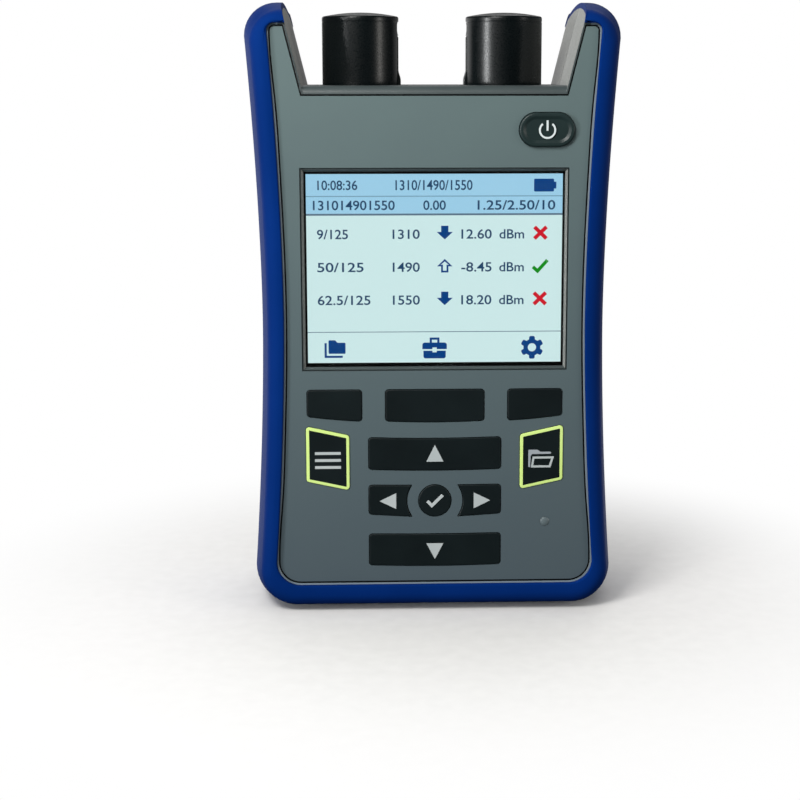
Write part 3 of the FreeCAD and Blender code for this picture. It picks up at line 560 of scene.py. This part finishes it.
def boot_inner(side, opening):
    """Rings from behind the opening's edge back along the housing towards the middle."""
    lip_y = side * (-FACE_Y + CONTACT)
    centre_y = -FACE_Y - HOUSING_ROLL
    near = BOOT_WALL - CONTACT
    rings = [opening_ring(lip_y, 0, *opening), opening_ring(lip_y, LIP_WIDTH, *opening)]
    for degrees in (54, 36, 18, 0):
        angle = math.radians(degrees)
        shrink = HOUSING_ROLL * (1 - math.cos(angle))
        y = side * (centre_y + HOUSING_ROLL * math.sin(angle))
        rings.append(form_ring(y, near + crown_inset(centre_y) + shrink, near + shrink))
    for share in (0.67, 0.33):
        y = side * centre_y * share
        rings.append(form_ring(y, near + crown_inset(y), near))
    return rings


def make_boot():
    """The whole boot as one skin, outside and inside, closed over the ears' inner ends."""
    start_y = -FRONT_Y - BOOT_ROLL * (1 - math.sin(math.radians(ROLL_START)))
    sides = [start_y * i / CROWN_STEPS for i in range(CROWN_STEPS, -CROWN_STEPS - 1, -1)]
    rings = [form_ring(y, crown_inset(y)) for y in sides]
    rings += rolled_rim(-1, FRONT_OPENING)
    rings += boot_inner(-1, FRONT_OPENING)
    rings += boot_inner(1, REAR_OPENING)[::-1]
    rings += rolled_rim(1, REAR_OPENING)[::-1]
    bm = bmesh.new()
    whole = []
    for ring in rings:
        left = [Vector((-p.x, p.y, p.z)) for p in ring[:0:-1]]
        whole.append(left + ring)
    rows = loft(bm, whole, False, True)
    bm.faces.new([row[0] for row in rows])
    bm.faces.new([row[-1] for row in rows[::-1]])
    boot = piece("rubber_boot_skin", bm, BOOT_BLUE, "meter", 40)
    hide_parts("rubber_boot")


# ---- Caps and straps ----

CAP_RIM_DROP = 1.05        # from the crown down to the cap's edge
CAP_EDGE = 0.6
CAP_WALL = 2.5
CAP_BORE = 16              # depth of the bore
CAP_GROOVE = 1.4           # from the edge down to a fine groove round the cap
CAP_STEPS = 120            # steps round the cap
CAP_SIDE = 0.3             # the cap's side is whatever lies within this of its radius
CAP_SIDE_STEPS = 34
CAP_EDGE_STEPS = 6
CAP_EDGE_TURN = 75         # degrees that the edge turns through before the crown begins
CAP_CROWN_STEPS = 14
CROWN_TIP = 0.002          # share of the edge's radius at the crown's middle, for a face to close
STRAP_GAP = 0.15
STRAP_THICK = 0.7
STRAP_STEPS = 44
STRAP_SWELL = (1.2, 4.2)   # heights over the deck between which the foot thins to the strap
STRAP_TAPER = 0.1          # share of its width that the strap loses by its top
FOOT_EASE = 0.3            # how far the strap's foot stays inside its place
DENT_HEIGHT = 4.1
DENT_DEPTH = 0.4
CAP_SKIRT = 0.2            # how far the cap comes down into its running gap over the deck


def cap_profile(low, radius):
    """(radius, height) from the bore's end down to its mouth and up the outside to the crown."""
    rim = CAP_TOP_Z - CAP_RIM_DROP
    bore = radius - CAP_WALL
    profile = [(bore, low + CAP_BORE), (bore, low + 0.4), (bore + 0.3, low + 0.05)]
    profile += [(radius - 0.15, low), (radius - 0.04, low + 0.04), (radius, low + 0.15)]
    start, top = low + 0.5, rim - CAP_GROOVE - 0.35
    profile += [(radius, start + (top - start) * i / CAP_SIDE_STEPS)
                for i in range(1, CAP_SIDE_STEPS + 1)]
    profile += [(radius - 0.08, top + 0.1), (radius - 0.08, top + 0.25), (radius, top + 0.35)]
    for i in range(CAP_EDGE_STEPS + 1):
        angle = math.radians(CAP_EDGE_TURN * i / CAP_EDGE_STEPS)
        inward, down = CAP_EDGE * (1 - math.cos(angle)), CAP_EDGE * (1 - math.sin(angle))
        profile.append((radius - inward, rim - down))
    edge_radius, edge_height = profile[-1]
    dome = CAP_TOP_Z - edge_height
    for i in range(1, CAP_CROWN_STEPS + 1):
        share = max(1 - i / CAP_CROWN_STEPS, CROWN_TIP)
        profile.append((edge_radius * share, edge_height + dome * (1 - share ** 2)))
    return profile


def slotted(x, y, height, radius, slot_x, slot_half, slot_top):
    """The cap's side let in for the strap, with a thumbnail dent above the strap's end."""
    above = height - slot_top
    slot = (1 - smooth(above, -0.1, 0.15)) * (1 - smooth(abs(y), slot_half - 0.15, slot_half + 0.2))
    dent = smooth(above, 0.3, 1.5) * (1 - smooth(above, DENT_HEIGHT - 1, DENT_HEIGHT))
    inner = x + (min(x, slot_x) - x) * max(slot, dent * (abs(y) < slot_half))
    return min(inner, radius - DENT_DEPTH * dent)


def make_cap(name, node, body):
    """Dust cap with a rim groove, a domed crown and the slot that its strap lies in."""
    low, high = box_mm(node)
    middle = (low.x + high.x) / 2
    radius = (high.y - low.y) / 2
    side = -1 if middle > 0 else 1
    strap_a, strap_b = box_mm(node.replace("port_cap", "cap_strap"))
    slot_x = min(abs(strap_a.x - middle), abs(strap_b.x - middle)) - STRAP_GAP
    slot_half = strap_b.y + STRAP_GAP
    half = CAP_STEPS // 2
    shares = [i / half for i in range(-half, half)]
    # The angles lie closest together round 0, where the slot is.
    angles = [math.pi * (0.22 * t + 0.78 * t ** 3) for t in shares]
    rings = []
    for r, height in cap_profile(low.z - CAP_SKIRT, radius):
        ring = []
        for angle in angles:
            x, y = r * math.cos(angle), r * math.sin(angle)
            if r > radius - CAP_SIDE and x > 0:
                x = slotted(x, y, height, radius, slot_x, slot_half, strap_b.z)
            ring.append(Vector((middle + side * x, y, height)))
        rings.append(ring)
    cap = solid_piece(name, rings, CAP_BLACK, body, 38)
    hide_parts(node)


def make_strap(name, node):
    """Moulded strap: a soft-edged strip that thickens into its foot on the deck."""
    low, high = box_mm(node)
    side = -1 if low.x > 0 else 1
    face = low.x if side > 0 else high.x
    foot = high.x - low.x - FOOT_EASE
    rings = []
    for i in range(STRAP_STEPS + 1):
        z = low.z + (high.z - low.z) * i / STRAP_STEPS
        swell = 1 - smooth(z, low.z + STRAP_SWELL[0], low.z + STRAP_SWELL[1])
        thick = STRAP_THICK + (foot - STRAP_THICK) * swell
        half = high.y * (1 - STRAP_TAPER * smooth(z, low.z + 2, high.z))
        if i == STRAP_STEPS:
            thick *= 0.7
        section = rounded([(0, -half), (thick, -half), (thick, half), (0, half)], thick * 0.3, 3)
        rings.append([Vector((face + side * x, y, z)) for x, y in section])
    strap = solid_piece(name, rings, CAP_BLACK, None, 50)
    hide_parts(node)
    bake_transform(strap)


# ---- Display picture ----

LIT_HALF_X = 35.04
LIT_HALF_Z = 26.05
SHEET = 0.006              # from one layer of the picture to the next
PICTURE_Y = LCD_Y - 0.05   # front of the picture's ground, just off the display
GROUND_THICK = 0.03
BAND_LAYER, INK_LAYER, SYMBOL_LAYER = 1, 2, 3
CAPITAL = 2.65             # height of the figures
FONT_CAPITAL = 0.73        # the same in the built-in face's own units
FONT_WEIGHT = 0.012        # how far the face's outlines are thickened, in the same units
# name, colour, layer, and the shares down the screen between which each bar lies
FIELDS = (
    ("screen_bands", (156, 206, 232), BAND_LAYER, ((0, 0.207),)),
    ("screen_light_rule", (112, 152, 176), INK_LAYER, ((0.114, 0.119),)),
    ("screen_dark_rules", (92, 116, 136), INK_LAYER, ((0.207, 0.217), (0.833, 0.837))),
)
# share down the screen, fibre size and where it ends, wavelength, level, way of the arrow
ROWS = (
    (0.314, "9/125", 0.162, "1310", "12.60", "down"),
    (0.488, "50/125", 0.222, "1490", "-8.45", "up"),
    (0.663, "62.5/125", 0.248, "1550", "18.20", "down"),
)
# words, the shares across the screen between which they lie, share down it, height
HEADINGS = (
    ("10:08:36", 0.045, 0.20, 0.057, CAPITAL),
    ("1310/1490/1550", 0.348, 0.648, 0.057, CAPITAL * 1.05),
    ("131014901550", 0.027, 0.345, 0.162, CAPITAL),
    ("0.00", 0.456, 0.544, 0.162, CAPITAL),
    ("1.25/2.50/10", 0.668, 0.972, 0.162, CAPITAL),
)
FOOT_DOWN = 0.922          # share down the screen of the symbols at its foot
ARROW_ACROSS = 0.540
MARK_ACROSS = 0.915
FOLDERS_ACROSS = 0.114
CASE_ACROSS = 0.5
GEAR_ACROSS = 0.886
GEAR_TEETH = 6
GEAR_STEPS = 12            # round each tooth
GEAR_EYE = 1.15
GEAR_ROOT = 2.35
GEAR_TOOTH = 0.85


def screen_point(across, down):
    """A place on the lit area, from its top left corner, as shares of its width and height."""
    return 2 * LIT_HALF_X * (across - 0.5), SCREEN_Z - 2 * LIT_HALF_Z * (down - 0.5)


def screen_bar(across0, down0, across1, down1):
    """A rectangle on the lit area, between two places given as shares."""
    return rectangle(*screen_point(across0, down1), *screen_point(across1, down0))


def placed(shape, across, down):
    """An outline in millimetres, set round a place on the screen."""
    x, z = screen_point(across, down)
    return [(x + a, z + b) for a, b in shape]


def layer(level):
    """The depth of one of the picture's layers, counted from its ground."""
    return PICTURE_Y - level * SHEET


def print_plate(bm, outline, level=SYMBOL_LAYER):
    """A filled outline on a layer."""
    add_plate(bm, outline, layer(level), SHEET / 2)


def print_shapes(bm, across, down, *shapes, level=SYMBOL_LAYER):
    """Filled outlines in millimetres, set round a place on the screen."""
    for shape in shapes:
        print_plate(bm, placed(shape, across, down), level)


def print_frame(bm, outer, inner):
    """A flat frame between two outlines with the same count of points."""
    near, far = layer(SYMBOL_LAYER), layer(SYMBOL_LAYER) + SHEET / 2
    section = ((outer, near), (inner, near), (inner, far), (outer, far))
    loft(bm, [[(x, y, z) for x, z in outline] for outline, y in section], True, True)


def add_figures(bm, words, across0, across1, down, height=CAPITAL):
    """Figures in the built-in face, fitted to a span and centred on a height."""
    curve = bpy.data.curves.new("figures", "FONT")
    curve.body = words
    curve.resolution_u = 4
    curve.offset = FONT_WEIGHT
    holder = bpy.data.objects.new("figures", curve)
    mesh = bpy.data.meshes.new_from_object(holder)
    xs = [v.co.x for v in mesh.vertices]
    x0, z = screen_point(across0, down)
    stretch = (screen_point(across1, down)[0] - x0) / (max(xs) - min(xs))
    made = []
    for v in mesh.vertices:
        x = x0 + (v.co.x - min(xs)) * stretch
        rise = (v.co.y / FONT_CAPITAL - 0.5) * height
        made.append(bm.verts.new((x, layer(INK_LAYER), z + rise)))
    for polygon in mesh.polygons:
        bm.faces.new([made[i] for i in polygon.vertices])
    bpy.data.objects.remove(holder)
    bpy.data.curves.remove(curve)
    bpy.data.meshes.remove(mesh)


def screen_piece(name, bm, colour):
    """One colour of the display's picture, as a piece with its own lit print."""
    piece(name, bm, lit_print(name, colour), "meter")


def make_fields():
    """The mint ground, the two blue bands over it and the rules between them."""
    ground = bmesh.new()
    add_plate(ground, screen_bar(0, 0, 1, 1), PICTURE_Y, GROUND_THICK)
    screen_piece("screen_ground", ground, (205, 234, 234))
    for name, colour, level, bars in FIELDS:
        bm = bmesh.new()
        for down0, down1 in bars:
            print_plate(bm, screen_bar(0, down0, 1, down1), level)
        screen_piece(name, bm, colour)


def make_figures():
    """Plain numbers: a clock, wavelengths, fibre sizes and levels."""
    ink = bmesh.new()
    for words, across0, across1, down, height in HEADINGS:
        add_figures(ink, words, across0, across1, down, height)
    for down, size, size_end, wavelength, level, _ in ROWS:
        add_figures(ink, size, 0.041, size_end, down)
        add_figures(ink, wavelength, 0.336, 0.442, down)
        add_figures(ink, level, 0.605, 0.724, down)
        add_figures(ink, "dBm", 0.754, 0.851, down)
    screen_piece("screen_figures", ink, (34, 68, 102))


def add_solid_arrow(bm, across, down):
    """A solid arrow that points down."""
    shape = [(-1, 2.2), (1, 2.2), (1, 0.5), (2.2, 0.5), (0, -1.55), (-2.2, 0.5), (-1, 0.5)]
    print_shapes(bm, across, down, shape)


def add_open_arrow(bm, across, down):
    """The outline of an arrow that points up."""
    shape = [(-1, -1.6), (-1, 0.1), (-2.1, 0.1), (0, 2.15), (2.1, 0.1), (1, 0.1), (1, -1.6)]
    outer = placed(shape[::-1], across, down)
    print_frame(bm, outer, grown(outer, -0.5))


def add_battery(bm):
    """A full battery at the right of the upper band."""
    print_plate(bm, rounded(screen_bar(0.888, 0.027, 0.966, 0.094), 0.35))
    print_plate(bm, screen_bar(0.966, 0.043, 0.975, 0.078))


def add_folders(bm, across, down):
    """A folder with the edge of another behind it."""
    front = [(-2.3, -1.5), (2.4, -1.5), (2.4, 1.6), (0.1, 1.6), (-0.4, 2.3), (-2.3, 2.3)]
    back = stroke([(-3.1, 1.5), (-3.1, -2.35), (1.6, -2.35)], 0.6)
    print_shapes(bm, across, down, rounded(front, 0.3, 3), back)


def add_case(bm, across, down):
    """A tool case: its lid with the clasp's upper half, its body and its handle."""
    lid = [(-0.6, -0.35), (-0.6, 0.12), (0.6, 0.12), (0.6, -0.35), (3.4, -0.35)]
    lid += arc(2.7, 0.8, 0.7, 0, 90, 6) + arc(-2.7, 0.8, 0.7, 90, 180, 6) + [(-3.4, -0.35)]
    body = [(0.6, -0.8), (0.6, -1.25), (-0.6, -1.25), (-0.6, -0.8), (-3.1, -0.8)]
    body += arc(-2.5, -2.35, 0.6, 180, 270, 6) + arc(2.5, -2.35, 0.6, 270, 360, 6)
    body += [(3.1, -0.8)]
    handle = stroke([(-1.05, 1.4), (-1.05, 2.6), (1.05, 2.6), (1.05, 1.4)], 0.62)
    print_shapes(bm, across, down, lid, body, handle)


def add_gear(bm, across, down):
    """A toothed wheel with a round eye, as a frame between two closed outlines."""
    steps = GEAR_TEETH * GEAR_STEPS
    outer, eye = [], []
    for step in range(steps):
        angle = 2 * math.pi * step / steps
        tooth = math.cos(GEAR_TEETH * (angle + math.pi / 6))
        radius = GEAR_ROOT + GEAR_TOOTH * smooth(tooth, -0.35, 0.15)
        outer.append((radius * math.cos(angle), radius * math.sin(angle)))
        eye.append((GEAR_EYE * math.cos(angle), GEAR_EYE * math.sin(angle)))
    print_frame(bm, placed(outer, across, down), placed(eye, across, down))


def make_icons():
    """The dark blue symbols: battery, arrows in the rows, folders, tool case and gear."""
    bm = bmesh.new()
    add_battery(bm)
    for row in ROWS:
        add_arrow = add_solid_arrow if row[-1] == "down" else add_open_arrow
        add_arrow(bm, ARROW_ACROSS, row[0])
    add_folders(bm, FOLDERS_ACROSS, FOOT_DOWN)
    add_case(bm, CASE_ACROSS, FOOT_DOWN)
    add_gear(bm, GEAR_ACROSS, FOOT_DOWN)
    screen_piece("screen_symbols", bm, (6, 62, 128))


def make_marks():
    """Green ticks and red crosses at the rows' ends."""
    ticks, crosses = bmesh.new(), bmesh.new()
    for row in ROWS:
        if row[-1] == "up":
            tick = stroke([(-2, -0.15), (-0.7, -1.3), (2, 1.7)], 0.95)
            print_shapes(ticks, MARK_ACROSS, row[0], tick)
            continue
        for level, lean in ((SYMBOL_LAYER, 1), (SYMBOL_LAYER + 1, -1)):
            bar = stroke([(-1.65, 0.2 - 1.6 * lean), (1.65, 0.2 + 1.6 * lean)], 1.05)
            print_shapes(crosses, MARK_ACROSS, row[0], bar, level=level)
    screen_piece("screen_ticks", ticks, (18, 140, 26))
    screen_piece("screen_crosses", crosses, (206, 24, 42))


# ---- Print on the keys ----

INK = 0.015                # how far print stands off a key
RING_WIDTH = 0.82
KEY_END = 0.4              # a key's front end is whatever lies within this of its face


def turn(a, b, c):
    """Positive where the way from a by b to c turns left."""
    return (b[0] - a[0]) * (c[1] - a[1]) - (b[1] - a[1]) * (c[0] - a[0])


def half_hull(ordered):
    """One side of the convex outline of points that are sorted across it."""
    hull = []
    for point in ordered:
        while len(hull) > 1 and turn(hull[-2], hull[-1], point) <= 0:
            hull.pop()
        hull.append(point)
    return hull[:-1]


def key_outline(node):
    """The outline of a key's front end, in order round it, and its depth."""
    corners = [v.co / MM for v in nodes[node].data.vertices]
    front = min(corner.y for corner in corners)
    points = sorted({(round(c.x, 3), round(c.z, 3)) for c in corners if c.y < front + KEY_END})
    return half_hull(points) + half_hull(points[::-1]), front


def make_lime_ring(name, node):
    """A bright printed frame round the edge of a key, down over its rounding."""
    outline, front = key_outline(node)
    section = [
        (0.03, front + 0.3), (0.02, front + 0.12), (-0.07, front + 0.01), (-0.22, front - INK),
        (-RING_WIDTH, front - INK), (-RING_WIDTH, front + 0.02), (-0.3, front + 0.3),
    ]
    rings = []
    for out, depth in section:
        rings.append([Vector((x, depth, z)) for x, z in grown(outline, out)])
    bm = bmesh.new()
    loft(bm, rings, True, True)
    piece(name, bm, PRINT_LIME, node)


def key_symbol(name, node, shapes, shift=(0, 0), material=PRINT_WHITE, lift=1):
    """Print on a key, of closed outlines in millimetres from the key's middle."""
    outline, front = key_outline(node)
    xs = [point[0] for point in outline]
    zs = [point[1] for point in outline]
    x = (min(xs) + max(xs)) / 2 + shift[0]
    z = (min(zs) + max(zs)) / 2 + shift[1]
    bm = bmesh.new()
    for shape in shapes:
        add_plate(bm, [(x + a, z + b) for a, b in shape], front - INK * lift, INK * 0.9)
    piece(name, bm, material, node)


def make_symbols():
    """The arrows, tick, bars, folder and power sign on the keys."""
    up = [(-2.4, -2.3), (2.4, -2.3), (0, 2.5)]
    down = [(2.4, 2.3), (-2.4, 2.3), (0, -2.35)]
    left = [(2.3, -2.3), (2.3, 2.3), (-2.35, 0)]
    right = [(-a, b) for a, b in left]
    key_symbol("up_symbol", "up_key", [up], (0, 0.1))
    key_symbol("down_symbol", "down_key", [down], (0, -0.4))
    key_symbol("left_symbol", "left_key", [left], (-0.7, 0))
    key_symbol("right_symbol", "right_key", [right], (0.75, 0))
    key_symbol("ok_symbol", "ok_key", [stroke([(-2.1, -0.1), (-0.85, -1.4), (2.2, 1.6)], 0.9)])
    bars = [rectangle(-3.6, z - 0.4, 3.6, z + 0.4) for z in (-2, 0, 2)]
    key_symbol("menu_symbol", "menu_key", bars, (0, -0.5))
    back = [(-3.4, -2.35), (-2.85, -2.35), (-2.75, 0.9), (-2.4, 1.4), (2.95, 1.45), (2.95, 2.05),
            (-0.05, 2.05), (-0.85, 2.65), (-3.4, 2.65)]
    front = [(0, -2.15), (2.6, -2.15), (3.4, 0.4), (-1.95, 0.4), (-2.35, -2.15), (0, -2.15)]
    shift = (-0.25, -0.55)
    key_symbol("folder_back_symbol", "folder_key", [rounded(back, 0.25, 3)], shift, PRINT_GREY)
    key_symbol("folder_symbol", "folder_key", [stroke(front, 0.6)], shift, lift=2)
    broken_ring = arc(0, 0, 2.34, 128, 412, 30) + arc(0, 0, 1.83, 412, 128, 30)
    bar = rectangle(-0.27, -0.15, 0.27, 2.65)
    key_symbol("power_symbol", "power_key", [broken_ring, bar], (0, -0.1), PRINT_BRIGHT)


# ---- Screws ----

SCREW_PLACES = (("lower", 38.2, 15.5), ("upper", 39.6, 145.5))
HEAD_DEPTH = 3.0           # of the counterbore in the rear housing
HEAD_RADIUS = 2.75
HEAD_HEIGHT = 1.9
HEAD_SKIRT = 0.7           # height of the head's straight side
HEAD_FLAT, HEAD_ROUND = 0.55, 0.45     # shares of the head's radius
RECESS_REACH = 1.25
RECESS_HALF = 0.34
RECESS_DEPTH = 1.1
RECESS_FLOOR = 0.72        # how much of its reach the recess keeps at its floor
SCREW_STEPS = 48
HEAD_STEPS = 7


def recess_reach(angle):
    """How far the cross recess reaches out at an angle."""
    a, b = abs(math.cos(angle)), abs(math.sin(angle))
    return min(RECESS_REACH, RECESS_HALF / max(min(a, b), RECESS_HALF / RECESS_REACH))


def make_screw(name, x, z, floor_y):
    """Cross-recessed pan-head screw in a counterbore of the rear housing."""
    profile = [(0.9, -6), (1.25, -5.4), (1.3, 0), (HEAD_RADIUS, 0), (HEAD_RADIUS, HEAD_SKIRT)]
    for i in range(1, HEAD_STEPS + 1):
        angle = math.radians(90 * i / HEAD_STEPS)
        swell = (HEAD_HEIGHT - HEAD_SKIRT) * math.sin(angle)
        share = HEAD_FLAT + HEAD_ROUND * math.cos(angle)
        profile.append((HEAD_RADIUS * share, HEAD_SKIRT + swell))
    angles = [2 * math.pi * step / SCREW_STEPS for step in range(SCREW_STEPS)]

    def ring(radii, height):
        return [Vector((x + r * math.cos(a), floor_y + height, z + r * math.sin(a)))
                for r, a in zip(radii, angles)]

    rings = [ring([radius] * SCREW_STEPS, height) for radius, height in profile]
    rings.append(ring([recess_reach(a) for a in angles], HEAD_HEIGHT))
    floor = [recess_reach(a) * RECESS_FLOOR for a in angles]
    rings.append(ring(floor, HEAD_HEIGHT - RECESS_DEPTH))
    solid_piece(name, rings, SCREW_STEEL, "meter", 35)


def make_screws():
    """Four screws, in two rows of two."""
    floor_y = box_mm("rear_housing")[1].y - HEAD_DEPTH
    for height, x, z in SCREW_PLACES:
        for side, sign in (("left", -1), ("right", 1)):
            make_screw(f"{height}_{side}_screw", sign * x, z, floor_y)


# ---- Stage ----
# Sizes here are in metres, apart from the camera's place, lens and sensor.

FLOOR_RADIUS = 0.36
FLOOR_RINGS = (0.02, 0.1, 0.2, 0.3, FLOOR_RADIUS)
FLOOR_FADE = (0.04, 0.16)  # distances from the middle between which the floor turns white
FLOOR_BEHIND = (-0.02, 0.04)       # depths between which its reflection turns white
ROOM_FRONT_BACK = (0.2, 0.5)       # how bright the room is in front and at the back
ROOM_ABOVE = 0.15          # how much is added to that overhead
MIRROR_FRONT_SIDES = (0.03, 0.08)  # how bright reflections show it in front and at the sides
MIRROR_RIGHT = 0.3         # share of the backdrop's brightness that reflections show at the right
LAMP_AIM = (0, 0, 0.1)
CAMERA_PLACE = (-15.3, -461.3, 150.3)
CAMERA_TURN = (79.949, 0.034, -1.899)      # degrees
CAMERA_LENS = 72.675
CAMERA_SENSOR = 36
CAMERA_SHIFT = (-0.04, -0.05)
CAMERA_NEAREST = 0.02


def ray_kinds(tree):
    """1 or 0 for a camera ray, and 1 or 0 for a mirrored or transmitted one."""
    path = node_of(tree, "LightPath").outputs
    mirrored = combine(tree, "MAXIMUM", path["Is Glossy Ray"], path["Is Transmission Ray"])
    return path["Is Camera Ray"], mirrored


def floor_material():
    """Pale matt floor that keeps the shadow near the object and runs out to plain white."""
    material, matt = principled("studio_floor", (247, 246, 244), 0.9, 0.05)
    tree = material.node_tree
    camera, mirrored = ray_kinds(tree)
    speck = spread(tree, noise(tree, 220, 3), 0, 1)
    pale = blend_colours(tree, speck, (242, 241, 239), (247, 246, 244))
    wire(matt, {"Base Color": blend_colours(tree, camera, (120, 120, 120), pale)})
    place = {0: node_of(tree, "NewGeometry").outputs["Position"]}
    reach = node_of(tree, "VectorMath", place, operation="LENGTH").outputs["Value"]
    inputs = {"Value": reach, "From Min": FLOOR_FADE[0], "From Max": FLOOR_FADE[1]}
    far = node_of(tree, "MapRange", inputs, interpolation_type="SMOOTHSTEP").outputs["Result"]
    depth = axes_of(tree, "NewGeometry", "Position")["Y"]
    behind = spread(tree, depth, 0, 1, *FLOOR_BEHIND)
    white = node_of(tree, "Emission", {"Strength": combine(tree, "MAXIMUM", camera, behind)})
    faded = combine(tree, "MULTIPLY", far, camera)
    mix = node_of(tree, "MixShader", {"Fac": combine(tree, "MAXIMUM", faded, mirrored),
                                      1: matt.outputs["BSDF"], 2: white.outputs["Emission"]})
    wire(tree.nodes["Material Output"], {"Surface": mix.outputs["Shader"]})
    return material


def make_floor():
    """A level disc under the object."""
    bm = bmesh.new()
    rings = [[Vector((x, y, 0)) for x, y in arc(0, 0, radius, 0, 354, 59)]
             for radius in FLOOR_RINGS]
    rows = loft(bm, rings, True, False)
    bm.faces.new(rows[0])
    mesh = bpy.data.meshes.new("studio_floor")
    bm.to_mesh(mesh)
    bm.free()
    mesh.materials.append(floor_material())
    floor = bpy.data.objects.new("studio_floor", mesh)
    bpy.context.scene.collection.objects.link(floor)


def make_world():
    """White behind the object, to the eye and in reflections, and a dim room round it."""
    world = bpy.data.worlds.new("studio")
    world.use_nodes = True
    bpy.context.scene.world = world
    tree = world.node_tree
    way = axes_of(tree, "TexCoord", "Generated")
    camera, mirrored = ray_kinds(tree)
    back = spread(tree, way["Y"], *ROOM_FRONT_BACK, -0.2, 0.6)
    above = spread(tree, way["Z"], 0, ROOM_ABOVE, 0.2, 1.0)
    room = combine(tree, "ADD", back, above)
    behind = spread(tree, way["Y"], 0, 1, 0.05, 0.3)
    leftward = spread(tree, way["X"], 1, MIRROR_RIGHT, -0.05, 0.08)
    low = spread(tree, way["Z"], 1, 0, 0.05, 0.3)
    backdrop = combine(tree, "MULTIPLY", combine(tree, "MULTIPLY", behind, low), leftward)
    sideways = combine(tree, "ABSOLUTE", way["X"])
    sides = spread(tree, sideways, *MIRROR_FRONT_SIDES, 0.3, 0.9)
    mirror = combine(tree, "MAXIMUM", backdrop, sides)
    lit = combine(tree, "MULTIPLY", room, combine(tree, "SUBTRACT", 1, mirrored))
    shown = combine(tree, "MULTIPLY", mirror, mirrored)
    strength = combine(tree, "MAXIMUM", camera, combine(tree, "ADD", lit, shown))
    wire(tree.nodes["Background"], {"Strength": strength, "Color": (1, 1, 1, 1)})


def make_lamp(name, place, size, watts, tint=(1, 1, 1)):
    """A soft area lamp that faces the object's middle."""
    lamp = bpy.data.lights.new(name, "AREA")
    lamp.shape = "RECTANGLE"
    lamp.size, lamp.size_y = size
    lamp.energy = watts
    lamp.color = tint
    holder = bpy.data.objects.new(name, lamp)
    bpy.context.scene.collection.objects.link(holder)
    holder.location = place
    aim = Vector(LAMP_AIM) - Vector(place)
    holder.rotation_euler = aim.to_track_quat("-Z", "Y").to_euler()


def make_lamps():
    """A small key light, a strip at each side and a large lamp behind."""
    make_lamp("key_light", (-0.16, -0.30, 0.36), (0.16, 0.16), 1.4, (1.0, 0.99, 0.97))
    make_lamp("left_strip", (-0.86, -0.60, 0.15), (0.17, 0.30), 5.8, (0.97, 0.99, 1.0))
    make_lamp("right_strip", (0.62, -0.36, 0.20), (0.15, 0.3), 0.9, (1.0, 0.97, 0.92))
    make_lamp("back_light", (0.1, 0.75, 0.75), (0.8, 0.5), 1.5)


def make_camera():
    """The photograph's view."""
    camera = bpy.data.cameras.new("camera")
    camera.sensor_width = CAMERA_SENSOR
    camera.lens = CAMERA_LENS
    camera.shift_x, camera.shift_y = CAMERA_SHIFT
    camera.clip_start = CAMERA_NEAREST
    holder = bpy.data.objects.new("camera", camera)
    bpy.context.scene.collection.objects.link(holder)
    holder.location = Vector(CAMERA_PLACE) * MM
    holder.rotation_euler = [math.radians(angle) for angle in CAMERA_TURN]
    bpy.context.scene.camera = holder


dress_frame()
make_boot()
make_cap("left_cap_rubber", "left_port_cap", "left_cap")
make_cap("right_cap_rubber", "right_port_cap", "right_cap")
make_strap("left_strap_rubber", "left_cap_strap")
make_strap("right_strap_rubber", "right_cap_strap")
make_fields()
make_figures()
make_icons()
make_marks()
make_lime_ring("menu_ring", "menu_key")
make_lime_ring("folder_ring", "folder_key")
make_symbols()
make_screws()
make_floor()
make_world()
make_lamps()
make_camera()
bpy.context.scene.view_settings.view_transform = "Standard"
